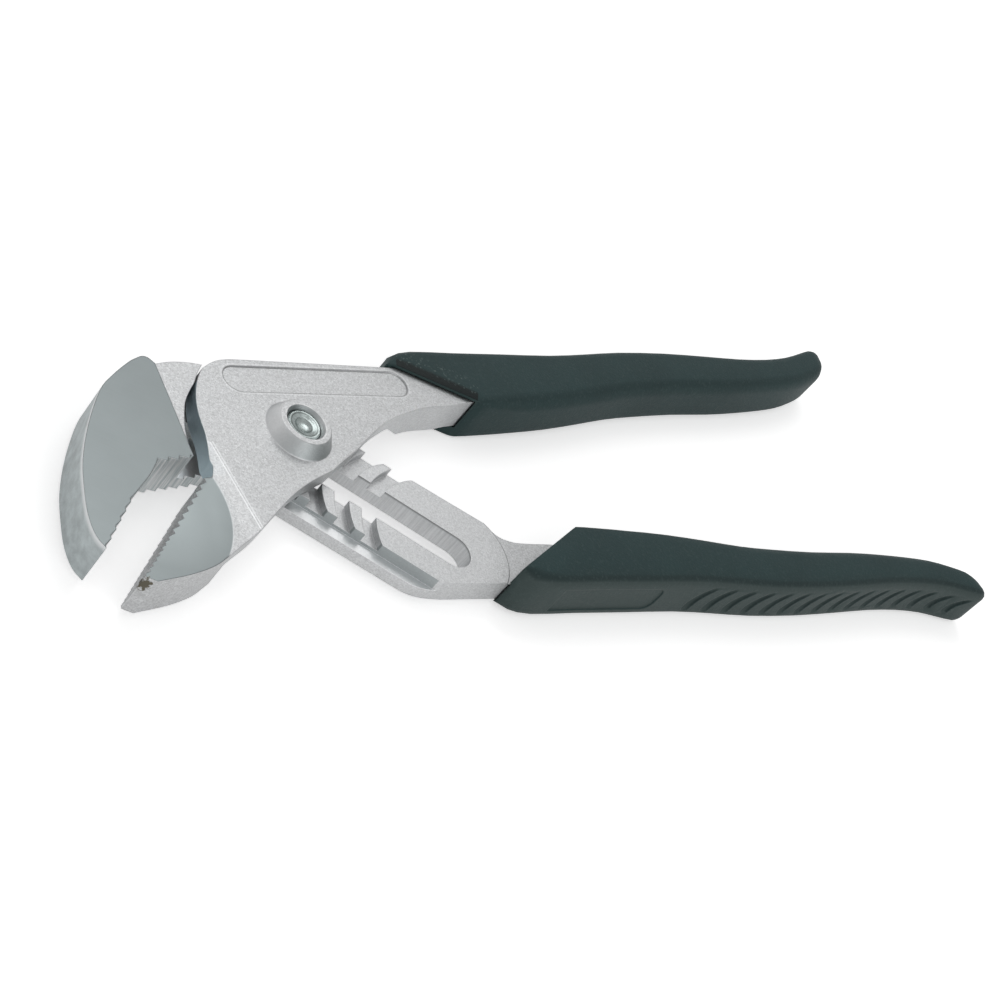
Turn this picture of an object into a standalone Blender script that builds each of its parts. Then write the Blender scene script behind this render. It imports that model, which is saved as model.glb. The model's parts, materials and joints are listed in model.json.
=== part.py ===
"""Groove joint water pump pliers, 250 mm nominal length.

Two forged halves cross at a bolt. The bolt slides in a slot of the rear half,
and a curved rib under the front half drops into one of seven curved grooves.
All lengths are in metres. The plan is drawn with the bolt's axis at the origin
and the top of the front plate at height zero, X towards the grips.
"""
import math

import bmesh
import bpy
from mathutils import Matrix, Vector

# Plan size that the outlines of both forgings are shares of
HEAD = 0.050

# Heights, counted down from the top of the front plate
JOINT_GAP = 0.0003
PLATE_THICKNESS = 0.0041
ARM_THICKNESS = 0.0080
BAR_THICKNESS = 0.0054
JAW_FACE_DROP = 0.0003
NECK_DROP = 0.0005
BAR_TOP = -(PLATE_THICKNESS + JOINT_GAP)
BAR_BACK = BAR_TOP - BAR_THICKNESS

# Slotted bar of the rear half
BAR_ANGLE = math.radians(-40.0)
SEATS = 7
SEAT_PITCH_SHARE = 0.125
SLOT_END_SHARE = 0.774
RAIL_LOWER_SHARE = 0.204
GROOVE_RADIUS_SHARE = 0.363
SEAT_PITCH = HEAD * SEAT_PITCH_SHARE
SLOT_END = HEAD * SLOT_END_SHARE
RAIL_LOWER = HEAD * RAIL_LOWER_SHARE
GROOVE_RADIUS = HEAD * GROOVE_RADIUS_SHARE
SLOT_WIDTH = 0.00815
SLOT_START_PLAY = 0.0006
GROOVE_WIDTH = 0.0033
GROOVE_DEPTH = 0.0019
LEDGE_DROP = 0.0026
SLIDEWAY_DEPTH = 0.0008

# Front plate, its boss and the rib under it
NOSE_RADIUS_SHARE = 0.436
NOSE_RADIUS = HEAD * NOSE_RADIUS_SHARE
NOSE_START_ANGLE = math.radians(138.0)
NOSE_END_ANGLE = math.radians(177.0)
STEP_RADIUS = NOSE_RADIUS + JOINT_GAP
STEP_START_ANGLE = math.radians(134.0)
STEP_END_ANGLE = math.radians(149.0)
RIB_START_ANGLE = math.radians(123.0)
RIB_END_ANGLE = math.radians(175.0)
ARM_ROOT_SHARE = 0.55
ARM_ROOT_RADIUS = HEAD * ARM_ROOT_SHARE
ARM_ROOT_SLOPE = 0.0060
ARM_ROOT_START_ANGLE = math.radians(50.0)
ARM_ROOT_END_ANGLE = math.radians(-20.0)
BOSS_BASE_RADIUS = 0.0072
BOSS_TOP_RADIUS = 0.0057
BOSS_HEIGHT = 0.0030
COUNTERSINK_RADIUS = 0.00425
COUNTERSINK_DEPTH = 0.0019
CREASE_LENGTH = 0.0038
BADGE_DEPTH = 0.0003

# Joint bolt
BOLT_SHANK_RADIUS = 0.0030
BOLT_SHOULDER_RADIUS = 0.00375
BOLT_HEAD_RADIUS = 0.0070
BOLT_END_RADIUS = 0.0036
BOLT_END_DROP = 0.0007
DIMPLE_RADIUS = 0.0028
DIMPLE_DEPTH = 0.0009
BOLT_EDGE = 0.0003

# Dimple in the bolt's end: shares of its radius and of its depth
DIMPLE_SHARES = [(1.0, 0.0), (0.84, 0.30), (0.66, 0.36), (0.54, 0.80), (0.30, 1.0)]

# Jaw teeth
COARSE_PITCH = 0.00236
COARSE_DEPTH = 0.0007
FINE_PITCH = 0.0015
FINE_DEPTH = 0.00045
REAR_FINE_PITCH = 0.0024
REAR_FINE_DEPTH = 0.0004
THROAT_PITCH = 0.0023
THROAT_DEPTH = 0.0008

# Grips, one moulding used twice
GRIP_LENGTH = 0.151
GRIP_THICKNESS = 0.0124
GRIP_TOP = 0.00125
GRIP_EDGE_RADIUS = 0.0021
GRIP_INNER_RADIUS = 0.0031
GRIP_WALL = 0.0024
GRIP_INNER_WALL = 0.0031
GRIP_FIT = 0.0003
UPPER_GRIP_PLACE_SHARE = (1.020, 0.178, 0.0)
UPPER_GRIP_PLACE = Vector(UPPER_GRIP_PLACE_SHARE) * HEAD
UPPER_GRIP_TILT = math.radians(1.95)
LOWER_GRIP_PLACE_SHARE = (1.200, -0.450, 0.0)
LOWER_GRIP_PLACE = Vector(LOWER_GRIP_PLACE_SHARE) * HEAD
TANG_DROP = 0.0004
TANG_STEP_SHARE = 0.240
TANG_STEP_RADIUS = HEAD * TANG_STEP_SHARE
TANG_STEP_START_ANGLE = math.radians(52.0)
TANG_STEP_END_ANGLE = math.radians(-80.0)
FINGER_GROOVES = 16
FINGER_GROOVE_START = 0.0345
FINGER_GROOVE_PITCH = 0.0061
FINGER_GROOVE_WIDTH = 0.0026
FINGER_GROOVE_DEPTH = 0.0009
FINGER_GROOVE_HEIGHT = 0.0096
LAST_GROOVE_HEIGHT = 0.0070
FINGER_GROOVE_BOW = 0.0015
FINGER_GROOVE_LEAN = 0.0040
PANEL_START = -0.0085
PANEL_LENGTH = 0.0295
PANEL_HEIGHT = 0.0072
PANEL_CORNER = 0.0022
PANEL_DEPTH = 0.0003

# Overrun that every cut shares, and a length beyond the whole part
OVERRUN = 0.001
FAR = 0.25
ROUND_STEPS = 48
CURVE_STEPS = 4
TANG_CURVE_STEPS = 2
GRIP_SPAN_STEPS = 2
GRIP_EDGE_STEPS = 3
GRIP_INNER_STEPS = 6
FINGER_GROOVE_STEPS = 8
FINGER_GROOVE_SIDES = 16
PANEL_STEPS = 8
PANEL_CORNER_STEPS = 4
GROOVE_STEPS = 20
ARM_ROOT_STEPS = 14
NOSE_STEPS = 12
STEP_STEPS = 4
GROOVE_HALF_SPAN = math.radians(60.0)

# Front half as shares of HEAD, each run a straight line or a smooth curve, anticlockwise
ROOT_SHARES = [(-0.4354, 0.0228), (-0.440, -0.030), (-0.452, -0.090), (-0.466, -0.145), (-0.464, -0.178),
               (-0.484, -0.224)]
FRONT_TEETH_SHARES = [(-0.522, -0.228), (-0.774, -0.487), (-0.922, -0.639)]
FRONT_TIP_SHARES = [(-0.922, -0.639), (-0.926, -0.652), (-0.886, -0.673)]
FRONT_BELLY_SHARES = [(-0.886, -0.673), (-0.736, -0.646), (-0.626, -0.612), (-0.550, -0.570), (-0.490, -0.533),
                      (-0.376, -0.464), (-0.190, -0.324), (-0.062, -0.246), (0.082, -0.182)]
ARM_BELLY_SHARES = [(0.082, -0.182), (0.162, -0.130), (0.238, -0.084), (0.386, 0.020), (0.470, 0.068), (0.552, 0.105),
                    (0.710, 0.154), (0.856, 0.173), (0.944, 0.192)]
ARM_TOP_SHARE = (0.740, 0.362)
PLATE_CORNER_SHARES = [(-0.130, 0.346), (-0.190, 0.343), (-0.240, 0.334), (-0.282, 0.316), (-0.324, 0.2917)]
JAW_RELIEF_SHARES = [(-0.530, -0.500), (-0.500, -0.360), (-0.496, -0.236), (-0.700, -0.190)]
CREASE_SHARES = [(-0.440, -0.034), (-0.372, -0.468)]

# Badge recess in the front plate, the ends of its centre line
BADGE_SHARES = [(-0.180, 0.249), (0.608, 0.273)]
BADGE_HALF_HEIGHT = 0.0032

# Rear half as shares of HEAD, anticlockwise from the top of the jaw
REAR_BACK_SHARES = [(-0.526, 0.304), (-0.548, 0.330), (-0.572, 0.335), (-0.604, 0.322), (-0.644, 0.300),
                    (-0.736, 0.232), (-0.814, 0.158), (-0.920, -0.006), (-0.996, -0.162), (-1.036, -0.292),
                    (-1.058, -0.396), (-1.058, -0.480), (-1.036, -0.534)]
REAR_TEETH_SHARES = [(-1.036, -0.534), (-0.834, -0.300)]
THROAT_BACK_SHARES = [(-0.834, -0.300), (-0.746, -0.220), (-0.696, -0.162)]
THROAT_TEETH_SHARES = [(-0.696, -0.162), (-0.400, -0.120)]
BAR_ROOT_SHARES = [(-0.400, -0.120), (-0.320, -0.110), (-0.250, -0.132), (-0.090, -0.264)]
BAR_TAIL_SHARES = [(0.296, -0.580), (0.356, -0.624), (0.426, -0.646), (0.516, -0.656)]
TANG_ROOT_SHARES = [(0.834, -0.660), (1.000, -0.676)]
HEEL_SHARES = [(1.144, -0.466), (1.000, -0.461), (0.932, -0.451), (0.878, -0.426), (0.832, -0.370)]
RAIL_STEP_SHARES = [(0.550, -0.155), (0.528, -0.148)]
BAR_HEAD_SHARES = [(0.038, 0.264), (-0.030, 0.296), (-0.120, 0.306), (-0.292, 0.314), (-0.366, 0.322),
                   (-0.450, 0.320), (-0.526, 0.304)]
STEP_WALL_SHARES = [(-0.3789, 0.2276), (-0.436, 0.162), (-0.474, 0.100), (-0.514, -0.010), (-0.526, -0.120),
                    (-0.530, -0.200)]
GROUND_EDGE_SHARE = -0.526
TANG_STEP_CENTRE_SHARE = (0.623, -0.494)

# Grip sections as shares of its length: inner x and y, outer x and y, then the share of its thickness
GRIP_SECTION_SHARES = [(0.010, -0.001, -0.132, 0.070), (0.028, -0.001, -0.118, 0.087), (0.060, -0.001, -0.080, 0.096),
                       (0.113, 0.001, 0.000, 0.097), (0.189, 0.008, 0.093, 0.099), (0.267, 0.019, 0.200, 0.101),
                       (0.333, 0.029, 0.280, 0.107), (0.397, 0.035, 0.360, 0.114), (0.493, 0.041, 0.467, 0.117),
                       (0.587, 0.043, 0.573, 0.115), (0.653, 0.047, 0.653, 0.113), (0.720, 0.053, 0.723, 0.115),
                       (0.773, 0.060, 0.783, 0.122), (0.817, 0.071, 0.830, 0.133), (0.849, 0.082, 0.860, 0.140),
                       (0.866, 0.093, 0.875, 0.138), (0.876, 0.103, 0.881, 0.132)]
LIP_THICKNESS_SHARE = 0.95
LIP_EDGE_SHARE = 0.40
END_THICKNESS_SHARES = [0.92, 0.70]
# The inner side is less round near the mouth: first share, then the growth with each row
MOUTH_ROUND_SHARE = 0.40
ROUND_GROWTH_SHARE = 0.20
ROUND_ROOM_SHARE = 0.95
TANG_STATIONS = (3, 10)

# Colours and finishes
STEEL_COLOUR = (0.60, 0.60, 0.61, 1.0)
STEEL_ROUGHNESS = 0.42
BOLT_COLOUR = (0.62, 0.63, 0.63, 1.0)
BOLT_ROUGHNESS = 0.32
GRIP_COLOUR = (0.035, 0.055, 0.055, 1.0)
GRIP_ROUGHNESS = 0.50
FULL_METAL = 1.0
NO_METAL = 0.0


def clear_scene():
    """Remove whatever the scene holds."""
    for old in list(bpy.data.objects):
        bpy.data.objects.remove(old, do_unlink=True)


def material(name, colour, roughness, metallic):
    """A plain Principled material."""
    made = bpy.data.materials.new(name)
    made.use_nodes = True
    shader = made.node_tree.nodes["Principled BSDF"]
    shader.inputs["Base Color"].default_value = colour
    shader.inputs["Roughness"].default_value = roughness
    shader.inputs["Metallic"].default_value = metallic
    made.diffuse_color = colour
    return made


def chrome():
    return material("satin_chrome", STEEL_COLOUR, STEEL_ROUGHNESS, FULL_METAL)


def bright_steel():
    return material("bright_steel", BOLT_COLOUR, BOLT_ROUGHNESS, FULL_METAL)


def grip_plastic(name):
    return material(name, GRIP_COLOUR, GRIP_ROUGHNESS, NO_METAL)


def along_bar(u, v):
    """The plan point u along the bar and v across it."""
    cos, sin = math.cos(BAR_ANGLE), math.sin(BAR_ANGLE)
    return Vector((u * cos - v * sin, u * sin + v * cos))


def sized(shares, size=HEAD):
    """Plan points from a table of shares."""
    return [Vector(pair) * size for pair in shares]


def smooth(points, steps=CURVE_STEPS):
    """A curve through the points, with its ends as they are."""
    last = len(points) - 1
    curve = []
    for i in range(last):
        a, b = points[i], points[i + 1]
        before = points[i - 1] if i > 0 else a * 2 - b
        after = points[i + 2] if i + 2 <= last else b * 2 - a
        for step in range(steps):
            t = step / steps
            curve.append(((b - before) * t + (before * 2 - a * 5 + b * 4 - after) * t ** 2
                          + (a * 3 - before - b * 3 + after) * t ** 3) / 2 + a)
    return curve + [points[last]]


def arc(radius, start, end, steps=10, centre=Vector((0.0, 0.0))):
    """Points on an arc from the start angle to the end angle."""
    turn = (end - start) / steps
    return [centre + Vector((math.cos(start + turn * i), math.sin(start + turn * i))) * radius
            for i in range(steps + 1)]


def teeth(start, end, pitch, depth, steep=0.25):
    """A toothed line from start to end; the notches lie to the left of its direction."""
    run = end - start
    count = max(1, round(run.length / pitch))
    side = Vector((-run.y, run.x)).normalized() * depth
    line = []
    for i in range(count):
        line.append(start + run * (i / count))
        line.append(start + run * ((i + steep) / count) + side)
    return line + [end]


def joined(*runs):
    """One outline from runs that follow each other, without doubled points."""
    outline = []
    for run in runs:
        for point in run:
            if not outline or (point - outline[-1]).length > JOINT_GAP / 2:
                outline.append(point)
    if (outline[0] - outline[-1]).length < JOINT_GAP / 2:
        outline.pop()
    return outline


def area(outline):
    """Signed area, positive when the points run anticlockwise."""
    pairs = zip(outline, outline[1:] + outline[:1])
    return sum(a.x * b.y - b.x * a.y for a, b in pairs) / 2


def moved_out(outline, distance):
    """The outline with each point moved out along its corner's bisector."""
    sign = 1 if area(outline) > 0 else -1
    moved = []
    for i, point in enumerate(outline):
        before = (point - outline[i - 1]).normalized()
        after = (outline[(i + 1) % len(outline)] - point).normalized()
        normal = Vector((before.y + after.y, -before.x - after.x)).normalized()
        cosine = max(0.5, Vector((before.y, -before.x)).dot(normal))
        moved.append(point + normal * (sign * distance / cosine))
    return moved


def add_object(name, mesh_data, paint=None):
    """Put a finished bmesh in the scene under a name."""
    mesh = bpy.data.meshes.new(name)
    bmesh.ops.recalc_face_normals(mesh_data, faces=mesh_data.faces)
    mesh_data.to_mesh(mesh)
    mesh_data.free()
    mesh.shade_smooth()
    mesh.set_sharp_from_angle(angle=math.radians(32.0))
    made = bpy.data.objects.new(name, mesh)
    bpy.context.collection.objects.link(made)
    if paint:
        mesh.materials.append(paint)
    return made


def loft(name, layers, paint=None):
    """A solid through outlines at heights; each layer is (outline, height)."""
    shape = bmesh.new()
    rings = [[shape.verts.new((p.x, p.y, height)) for p in outline] for outline, height in layers]
    for low, high in zip(rings, rings[1:]):
        for i in range(len(low)):
            j = (i + 1) % len(low)
            shape.faces.new((low[i], low[j], high[j], high[i]))
    shape.faces.new(rings[0])
    shape.faces.new(rings[-1])
    return add_object(name, shape, paint)


def slab(name, outline, low, high, paint=None):
    return loft(name, [(outline, low), (outline, high)], paint)


def turned(name, profile, paint=None):
    """A body of revolution about the bolt's axis; profile is (radius, height) from bottom to top."""
    shape = bmesh.new()
    points = [shape.verts.new((radius, 0, height)) for radius, height in profile]
    edges = [shape.edges.new(pair) for pair in zip(points, points[1:])]
    bmesh.ops.spin(shape, geom=points + edges, cent=(0, 0, 0), axis=(0, 0, 1),
                   angle=math.tau, steps=ROUND_STEPS, use_duplicate=False)
    bmesh.ops.remove_doubles(shape, verts=shape.verts, dist=BOLT_EDGE / 100)
    return add_object(name, shape, paint)


def combine(body, other, operation="DIFFERENCE"):
    """Cut the other object from the body, or add it, and hide it."""
    step = body.modifiers.new(other.name, "BOOLEAN")
    step.object = other
    step.operation = operation
    step.solver = "EXACT"
    other.hide_render = True
    other.display_type = "WIRE"
    return body


def ring_sector(inner, outer, start, end, steps=16, centre=Vector((0.0, 0.0))):
    """The outline of a curved bar between two radii."""
    return arc(outer, start, end, steps, centre) + arc(inner, end, start, steps, centre)


def stadium(a, b, radius, steps=12):
    """A long round-ended outline from a to b."""
    heading = math.atan2(b.y - a.y, b.x - a.x)
    right, left = heading - math.pi / 2, heading + math.pi / 2
    return arc(radius, right, left, steps, b) + arc(radius, left, left + math.pi, steps, a)


def section_at(position):
    """The grip section at a position counted in the table's rows."""
    row = min(int(position), len(GRIP_SECTION_SHARES) - 2)
    table = [Vector(shares) * GRIP_LENGTH for shares in GRIP_SECTION_SHARES[max(0, row - 1):row + 3]]
    first = min(row, 1)
    a, b = table[first], table[first + 1]
    before = table[first - 1] if first else a * 2 - b
    after = table[first + 2] if first + 2 < len(table) else b * 2 - a
    t = position - row
    return (((b - before) * t + (before * 2 - a * 5 + b * 4 - after) * t ** 2
             + (a * 3 - before - b * 3 + after) * t ** 3) / 2 + a)


def section_ring(section, half_thickness, outer_edge, inner_edge, flip):
    """A section as points in the grip's frame: its outer side flat, its inner side round."""
    inner, outer = Vector(section[:2]), Vector(section[2:])
    middle, half = (inner + outer) / 2, (outer - inner) / 2
    room = (half.y * 2 - outer_edge) * ROUND_ROOM_SHARE
    ring = []
    for corner in range(4):
        side = 1 if corner in (0, 3) else -1
        up = 1 if corner < 2 else -1
        edge = outer_edge if side > 0 else min(inner_edge, room)
        steps = GRIP_EDGE_STEPS if side > 0 else GRIP_INNER_STEPS
        skewed = edge * half.length / half.y
        for i in range(steps + 1):
            turn = math.pi / 2 * (corner + i / steps)
            across = side * (half.length - skewed) + skewed * math.cos(turn)
            place = middle + half.normalized() * across
            rise = up * (half_thickness - edge) + edge * math.sin(turn)
            ring.append((place.x, place.y * flip, GRIP_TOP - GRIP_THICKNESS / 2 + rise))
    return ring


def grip_body(name, flip, paint):
    """The moulding without its socket, lofted through its sections."""
    last = len(GRIP_SECTION_SHARES) - 1
    full_until = last - len(END_THICKNESS_SHARES)
    shape = bmesh.new()
    rings = []
    for step in range(last * GRIP_SPAN_STEPS + 1):
        position = step / GRIP_SPAN_STEPS
        if 0 < position < 1:
            continue
        share = LIP_THICKNESS_SHARE if position == 0 else 1
        if position > full_until:
            low = 1 if position <= full_until + 1 else END_THICKNESS_SHARES[0]
            high = END_THICKNESS_SHARES[0] if position <= full_until + 1 else END_THICKNESS_SHARES[1]
            share = low + (high - low) * (position - math.ceil(position) + 1)
        half = GRIP_THICKNESS / 2 * share
        edge = GRIP_EDGE_RADIUS * (share if position else LIP_EDGE_SHARE)
        inner_edge = GRIP_INNER_RADIUS * min(share, MOUTH_ROUND_SHARE + ROUND_GROWTH_SHARE * position)
        rings.append([shape.verts.new(p) for p in section_ring(section_at(position), half, edge, inner_edge, flip)])
    for low, high in zip(rings, rings[1:]):
        for i in range(len(low)):
            j = (i + 1) % len(low)
            shape.faces.new((low[i], low[j], high[j], high[i]))
    shape.faces.new(rings[0])
    shape.faces.new(rings[-1])
    return add_object(name, shape, paint)


def outer_wall(x):
    """The height of the grip's outer wall at a place along its frame."""
    last = len(GRIP_SECTION_SHARES) - 1
    walk = [section_at(i / GRIP_SPAN_STEPS) for i in range(last * GRIP_SPAN_STEPS + 1)]
    for a, b in zip(walk, walk[1:]):
        if a[2] <= x <= b[2]:
            return a[3] + (b[3] - a[3]) * (x - a[2]) / (b[2] - a[2])
    return walk[-1][3]


def finger_grooves(name, flip):
    """The cutters of the curved finger grooves, as bent round bars along the outer wall."""
    shape = bmesh.new()
    radius = FINGER_GROOVE_WIDTH ** 2 / (8 * FINGER_GROOVE_DEPTH) + FINGER_GROOVE_DEPTH / 2
    middle = GRIP_TOP - GRIP_THICKNESS / 2
    for number in range(FINGER_GROOVES):
        x = FINGER_GROOVE_START + number * FINGER_GROOVE_PITCH
        tall = FINGER_GROOVE_HEIGHT + (LAST_GROOVE_HEIGHT - FINGER_GROOVE_HEIGHT) * number / FINGER_GROOVES
        rings = []
        for i in range(FINGER_GROOVE_STEPS + 1):
            t = i / FINGER_GROOVE_STEPS
            lean = FINGER_GROOVE_LEAN * (t - 1 / 2) - FINGER_GROOVE_BOW * math.sin(math.pi * t)
            fade = FINGER_GROOVE_DEPTH * abs(t * 2 - 1) ** 4
            wall = outer_wall(x + lean) + radius - FINGER_GROOVE_DEPTH + fade
            height = middle + tall * (t - 1 / 2)
            rings.append([shape.verts.new((x + lean + point.x, (wall + point.y) * flip, height))
                          for point in arc(radius, 0, math.tau, FINGER_GROOVE_SIDES)[1:]])
        for low, high in zip(rings, rings[1:]):
            for i in range(FINGER_GROOVE_SIDES):
                j = (i + 1) % FINGER_GROOVE_SIDES
                shape.faces.new((low[i], low[j], high[j], high[i]))
        shape.faces.new(rings[0])
        shape.faces.new(rings[-1])
    return add_object(name, shape)


def badge_panel(name, flip):
    """The cutter of the shallow bare panel on the grip's outer wall, rounded at its far end."""
    middle = GRIP_TOP - GRIP_THICKNESS / 2
    corner = arc(PANEL_CORNER, 0, math.pi / 2, PANEL_CORNER_STEPS)
    straight = PANEL_HEIGHT / 2 - PANEL_CORNER
    rises = [-straight - point.y for point in reversed(corner)] + [straight + point.y for point in corner]
    ends = [point.x for point in reversed(corner)] + [point.x for point in corner]
    layers = []
    for rise, end in zip(rises, ends):
        length = PANEL_LENGTH - PANEL_CORNER + end
        xs = [PANEL_START + length * i / PANEL_STEPS for i in range(PANEL_STEPS + 1)]
        floor = [Vector((x, (outer_wall(x) - PANEL_DEPTH) * flip)) for x in xs]
        outside = [Vector((x, (outer_wall(x) + OVERRUN) * flip)) for x in reversed(xs)]
        layers.append((floor + outside, middle + rise))
    return loft(name, layers)


def tang_rails(place, tilt, flip):
    """The two sides of a tang inside its grip, in the plan, from the mouth to the tang's end."""
    turn = Matrix.Rotation(tilt, 2)
    low, high = TANG_STATIONS
    inner, outer = [], []
    for position in range(low, high + 1):
        section = section_at(position)
        a = Vector((section[0], (section[1] + GRIP_INNER_WALL) * flip))
        b = Vector((section[2], (section[3] - GRIP_WALL) * flip))
        inner.append(turn @ a + place.to_2d())
        outer.append(turn @ b + place.to_2d())
    return smooth(inner, TANG_CURVE_STEPS), smooth(outer, TANG_CURVE_STEPS)


def grip(name, place, tilt, flip, tang, tang_low, tang_high, paint):
    """A grip on its tang; flip is minus one for the mirrored moulding."""
    body = grip_body(name, flip, paint)
    cutters = [finger_grooves(name + "_finger_cut", flip), badge_panel(name + "_panel_cut", flip)]
    for piece in [body] + cutters:
        piece.location = place
        piece.rotation_euler.z = tilt
    socket = slab(name + "_socket", moved_out(tang, GRIP_FIT), tang_low - GRIP_FIT, tang_high + GRIP_FIT)
    for cutter in cutters + [socket]:
        combine(body, cutter)
    return [body] + cutters + [socket]


def crease_cut(name, start, end, drop_length, drop, height):
    """A cut over the plan to the right of start to end, falling by drop and then level."""
    run = (end - start).normalized()
    side = Vector((run.y, -run.x))
    length = HEAD * 2
    shape = bmesh.new()
    profile = [(0, height), (drop_length, height - drop), (length * 2, height - drop),
               (length * 2, height + length / 10), (0, height + length / 10)]
    faces = []
    for point in (start - run * length / 4, end + run * length / 4):
        faces.append([shape.verts.new((*(point + side * out), rise)) for out, rise in profile])
    for i in range(len(profile)):
        j = (i + 1) % len(profile)
        shape.faces.new((faces[0][i], faces[0][j], faces[1][j], faces[1][i]))
    shape.faces.new(faces[0])
    shape.faces.new(faces[1])
    return add_object(name, shape)


def nose():
    return arc(NOSE_RADIUS, NOSE_START_ANGLE, NOSE_END_ANGLE, NOSE_STEPS)


def arm_and_tang():
    """The lower edge of the arm, the tang and the arm's top, in that order."""
    inner, outer = tang_rails(UPPER_GRIP_PLACE, UPPER_GRIP_TILT, 1)
    return joined(smooth(sized(ARM_BELLY_SHARES)), inner, outer[::-1], [Vector(ARM_TOP_SHARE) * HEAD])


def front_outline():
    coarse, change, tip = sized(FRONT_TEETH_SHARES)
    return joined(nose(), smooth(sized(ROOT_SHARES)), teeth(coarse, change, COARSE_PITCH, COARSE_DEPTH),
                  teeth(change, tip, FINE_PITCH, FINE_DEPTH), sized(FRONT_TIP_SHARES),
                  smooth(sized(FRONT_BELLY_SHARES)), arm_and_tang(), smooth(sized(PLATE_CORNER_SHARES)))


def rear_tang():
    """The rear tang from its lower edge round its end to the heel."""
    inner, outer = tang_rails(LOWER_GRIP_PLACE, 0, -1)
    return joined(sized(TANG_ROOT_SHARES), outer, inner[::-1], smooth(sized(HEEL_SHARES)))


def rear_outline():
    tip, throat = sized(REAR_TEETH_SHARES)
    back, neck = sized(THROAT_TEETH_SHARES)
    return joined(smooth(sized(REAR_BACK_SHARES)), teeth(tip, throat, REAR_FINE_PITCH, REAR_FINE_DEPTH),
                  smooth(sized(THROAT_BACK_SHARES)), teeth(back, neck, THROAT_PITCH, THROAT_DEPTH),
                  smooth(sized(BAR_ROOT_SHARES)), smooth(sized(BAR_TAIL_SHARES)), rear_tang(),
                  sized(RAIL_STEP_SHARES), smooth(sized(BAR_HEAD_SHARES)))


def step_wall():
    """The wall of the neck beside the front plate, from the top down to the throat."""
    return joined(arc(STEP_RADIUS, STEP_START_ANGLE, STEP_END_ANGLE, STEP_STEPS),
                  smooth(sized(STEP_WALL_SHARES)))


def plate_pocket():
    """The plan beyond the neck's wall, where the front plate lies on the bar."""
    wall = step_wall()
    return joined(wall, [Vector((wall[-1].x, -FAR)), Vector((FAR, -FAR)), Vector((FAR, FAR)),
                         Vector((wall[0].x, FAR))])


def ledge():
    """The plan of the low ledge along the bar's lower edge."""
    across = along_bar(0, 1)
    wall = [p for p in step_wall() if p.dot(across) < -RAIL_LOWER]
    reach = RAIL_LOWER * 4
    return joined([along_bar(wall[0].dot(along_bar(1, 0)), -RAIL_LOWER)], wall,
                  [along_bar(0, -reach), along_bar(HEAD, -reach), along_bar(HEAD, -RAIL_LOWER)])


def beyond_tang_step():
    """The plan beyond the curved step where the bar's milled top ends."""
    edge = arc(TANG_STEP_RADIUS, TANG_STEP_START_ANGLE, TANG_STEP_END_ANGLE, GROOVE_STEPS,
               Vector(TANG_STEP_CENTRE_SHARE) * HEAD)
    return edge + [Vector((edge[-1].x, -FAR)), Vector((FAR, -FAR)), Vector((FAR, edge[0].y))]


def groove_cutter():
    """All the curved grooves, each about the bolt's place at its own seat."""
    shape = bmesh.new()
    inner, outer = GROOVE_RADIUS - GROOVE_WIDTH / 2, GROOVE_RADIUS + GROOVE_WIDTH / 2
    back = BAR_ANGLE + math.pi
    low, high = BAR_TOP - GROOVE_DEPTH, -PLATE_THICKNESS / 2
    for seat in range(SEATS):
        sector = ring_sector(inner, outer, back - GROOVE_HALF_SPAN, back + GROOVE_HALF_SPAN, GROOVE_STEPS,
                             along_bar(seat * SEAT_PITCH, 0))
        rings = [[shape.verts.new((p.x, p.y, height)) for p in sector] for height in (low, high)]
        for i in range(len(sector)):
            j = (i + 1) % len(sector)
            shape.faces.new((rings[0][i], rings[0][j], rings[1][j], rings[1][i]))
        shape.faces.new(rings[0])
        shape.faces.new(rings[1])
    return add_object("groove_cut", shape)


def rear_jaw_half(paint):
    """Rear forging: jaw, neck, slotted bar with its seven grooves, and tang."""
    body = slab("rear_jaw_half", rear_outline(), BAR_BACK, -JAW_FACE_DROP, paint)
    edge = HEAD * GROUND_EDGE_SHARE
    beyond = [Vector((edge, -FAR)), Vector((FAR, -FAR)), Vector((FAR, FAR)), Vector((edge, FAR))]
    slot_start, slot_end = along_bar(-SLOT_START_PLAY, 0), along_bar(SLOT_END, 0)
    head_room = BOLT_HEAD_RADIUS + JOINT_GAP
    cutters = [slab("neck_cut", beyond, -NECK_DROP, OVERRUN),
               slab("plate_pocket", plate_pocket(), BAR_TOP, OVERRUN),
               slab("ledge_cut", ledge(), BAR_TOP - LEDGE_DROP, -PLATE_THICKNESS / 2),
               groove_cutter(),
               slab("slot_cut", stadium(slot_start, slot_end, SLOT_WIDTH / 2), BAR_BACK - OVERRUN, OVERRUN),
               slab("slideway_cut", stadium(slot_start, slot_end, head_room), BAR_BACK - OVERRUN,
                    BAR_BACK + SLIDEWAY_DEPTH),
               slab("tang_step_cut", beyond_tang_step(), BAR_TOP - TANG_DROP, OVERRUN)]
    for cutter in cutters:
        combine(body, cutter)
    return [body] + cutters


def front_pocket(root_radius):
    """The plan where the front half is only as thick as its plate."""
    relief = sized(JAW_RELIEF_SHARES)
    root = arc(root_radius, ARM_ROOT_START_ANGLE, ARM_ROOT_END_ANGLE, ARM_ROOT_STEPS)
    return joined(relief, [Vector((-FAR, relief[-1].y)), Vector((-FAR, FAR)), Vector((root[0].x, FAR))],
                  root, [Vector((root[-1].x, -FAR)), Vector((relief[0].x, -FAR))])


def arm_underside():
    """The plan of the arm, which is thinner than the jaw."""
    return [Vector((0, -FAR)), Vector((FAR, -FAR)), Vector((FAR, FAR)), Vector((0, FAR))]


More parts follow.
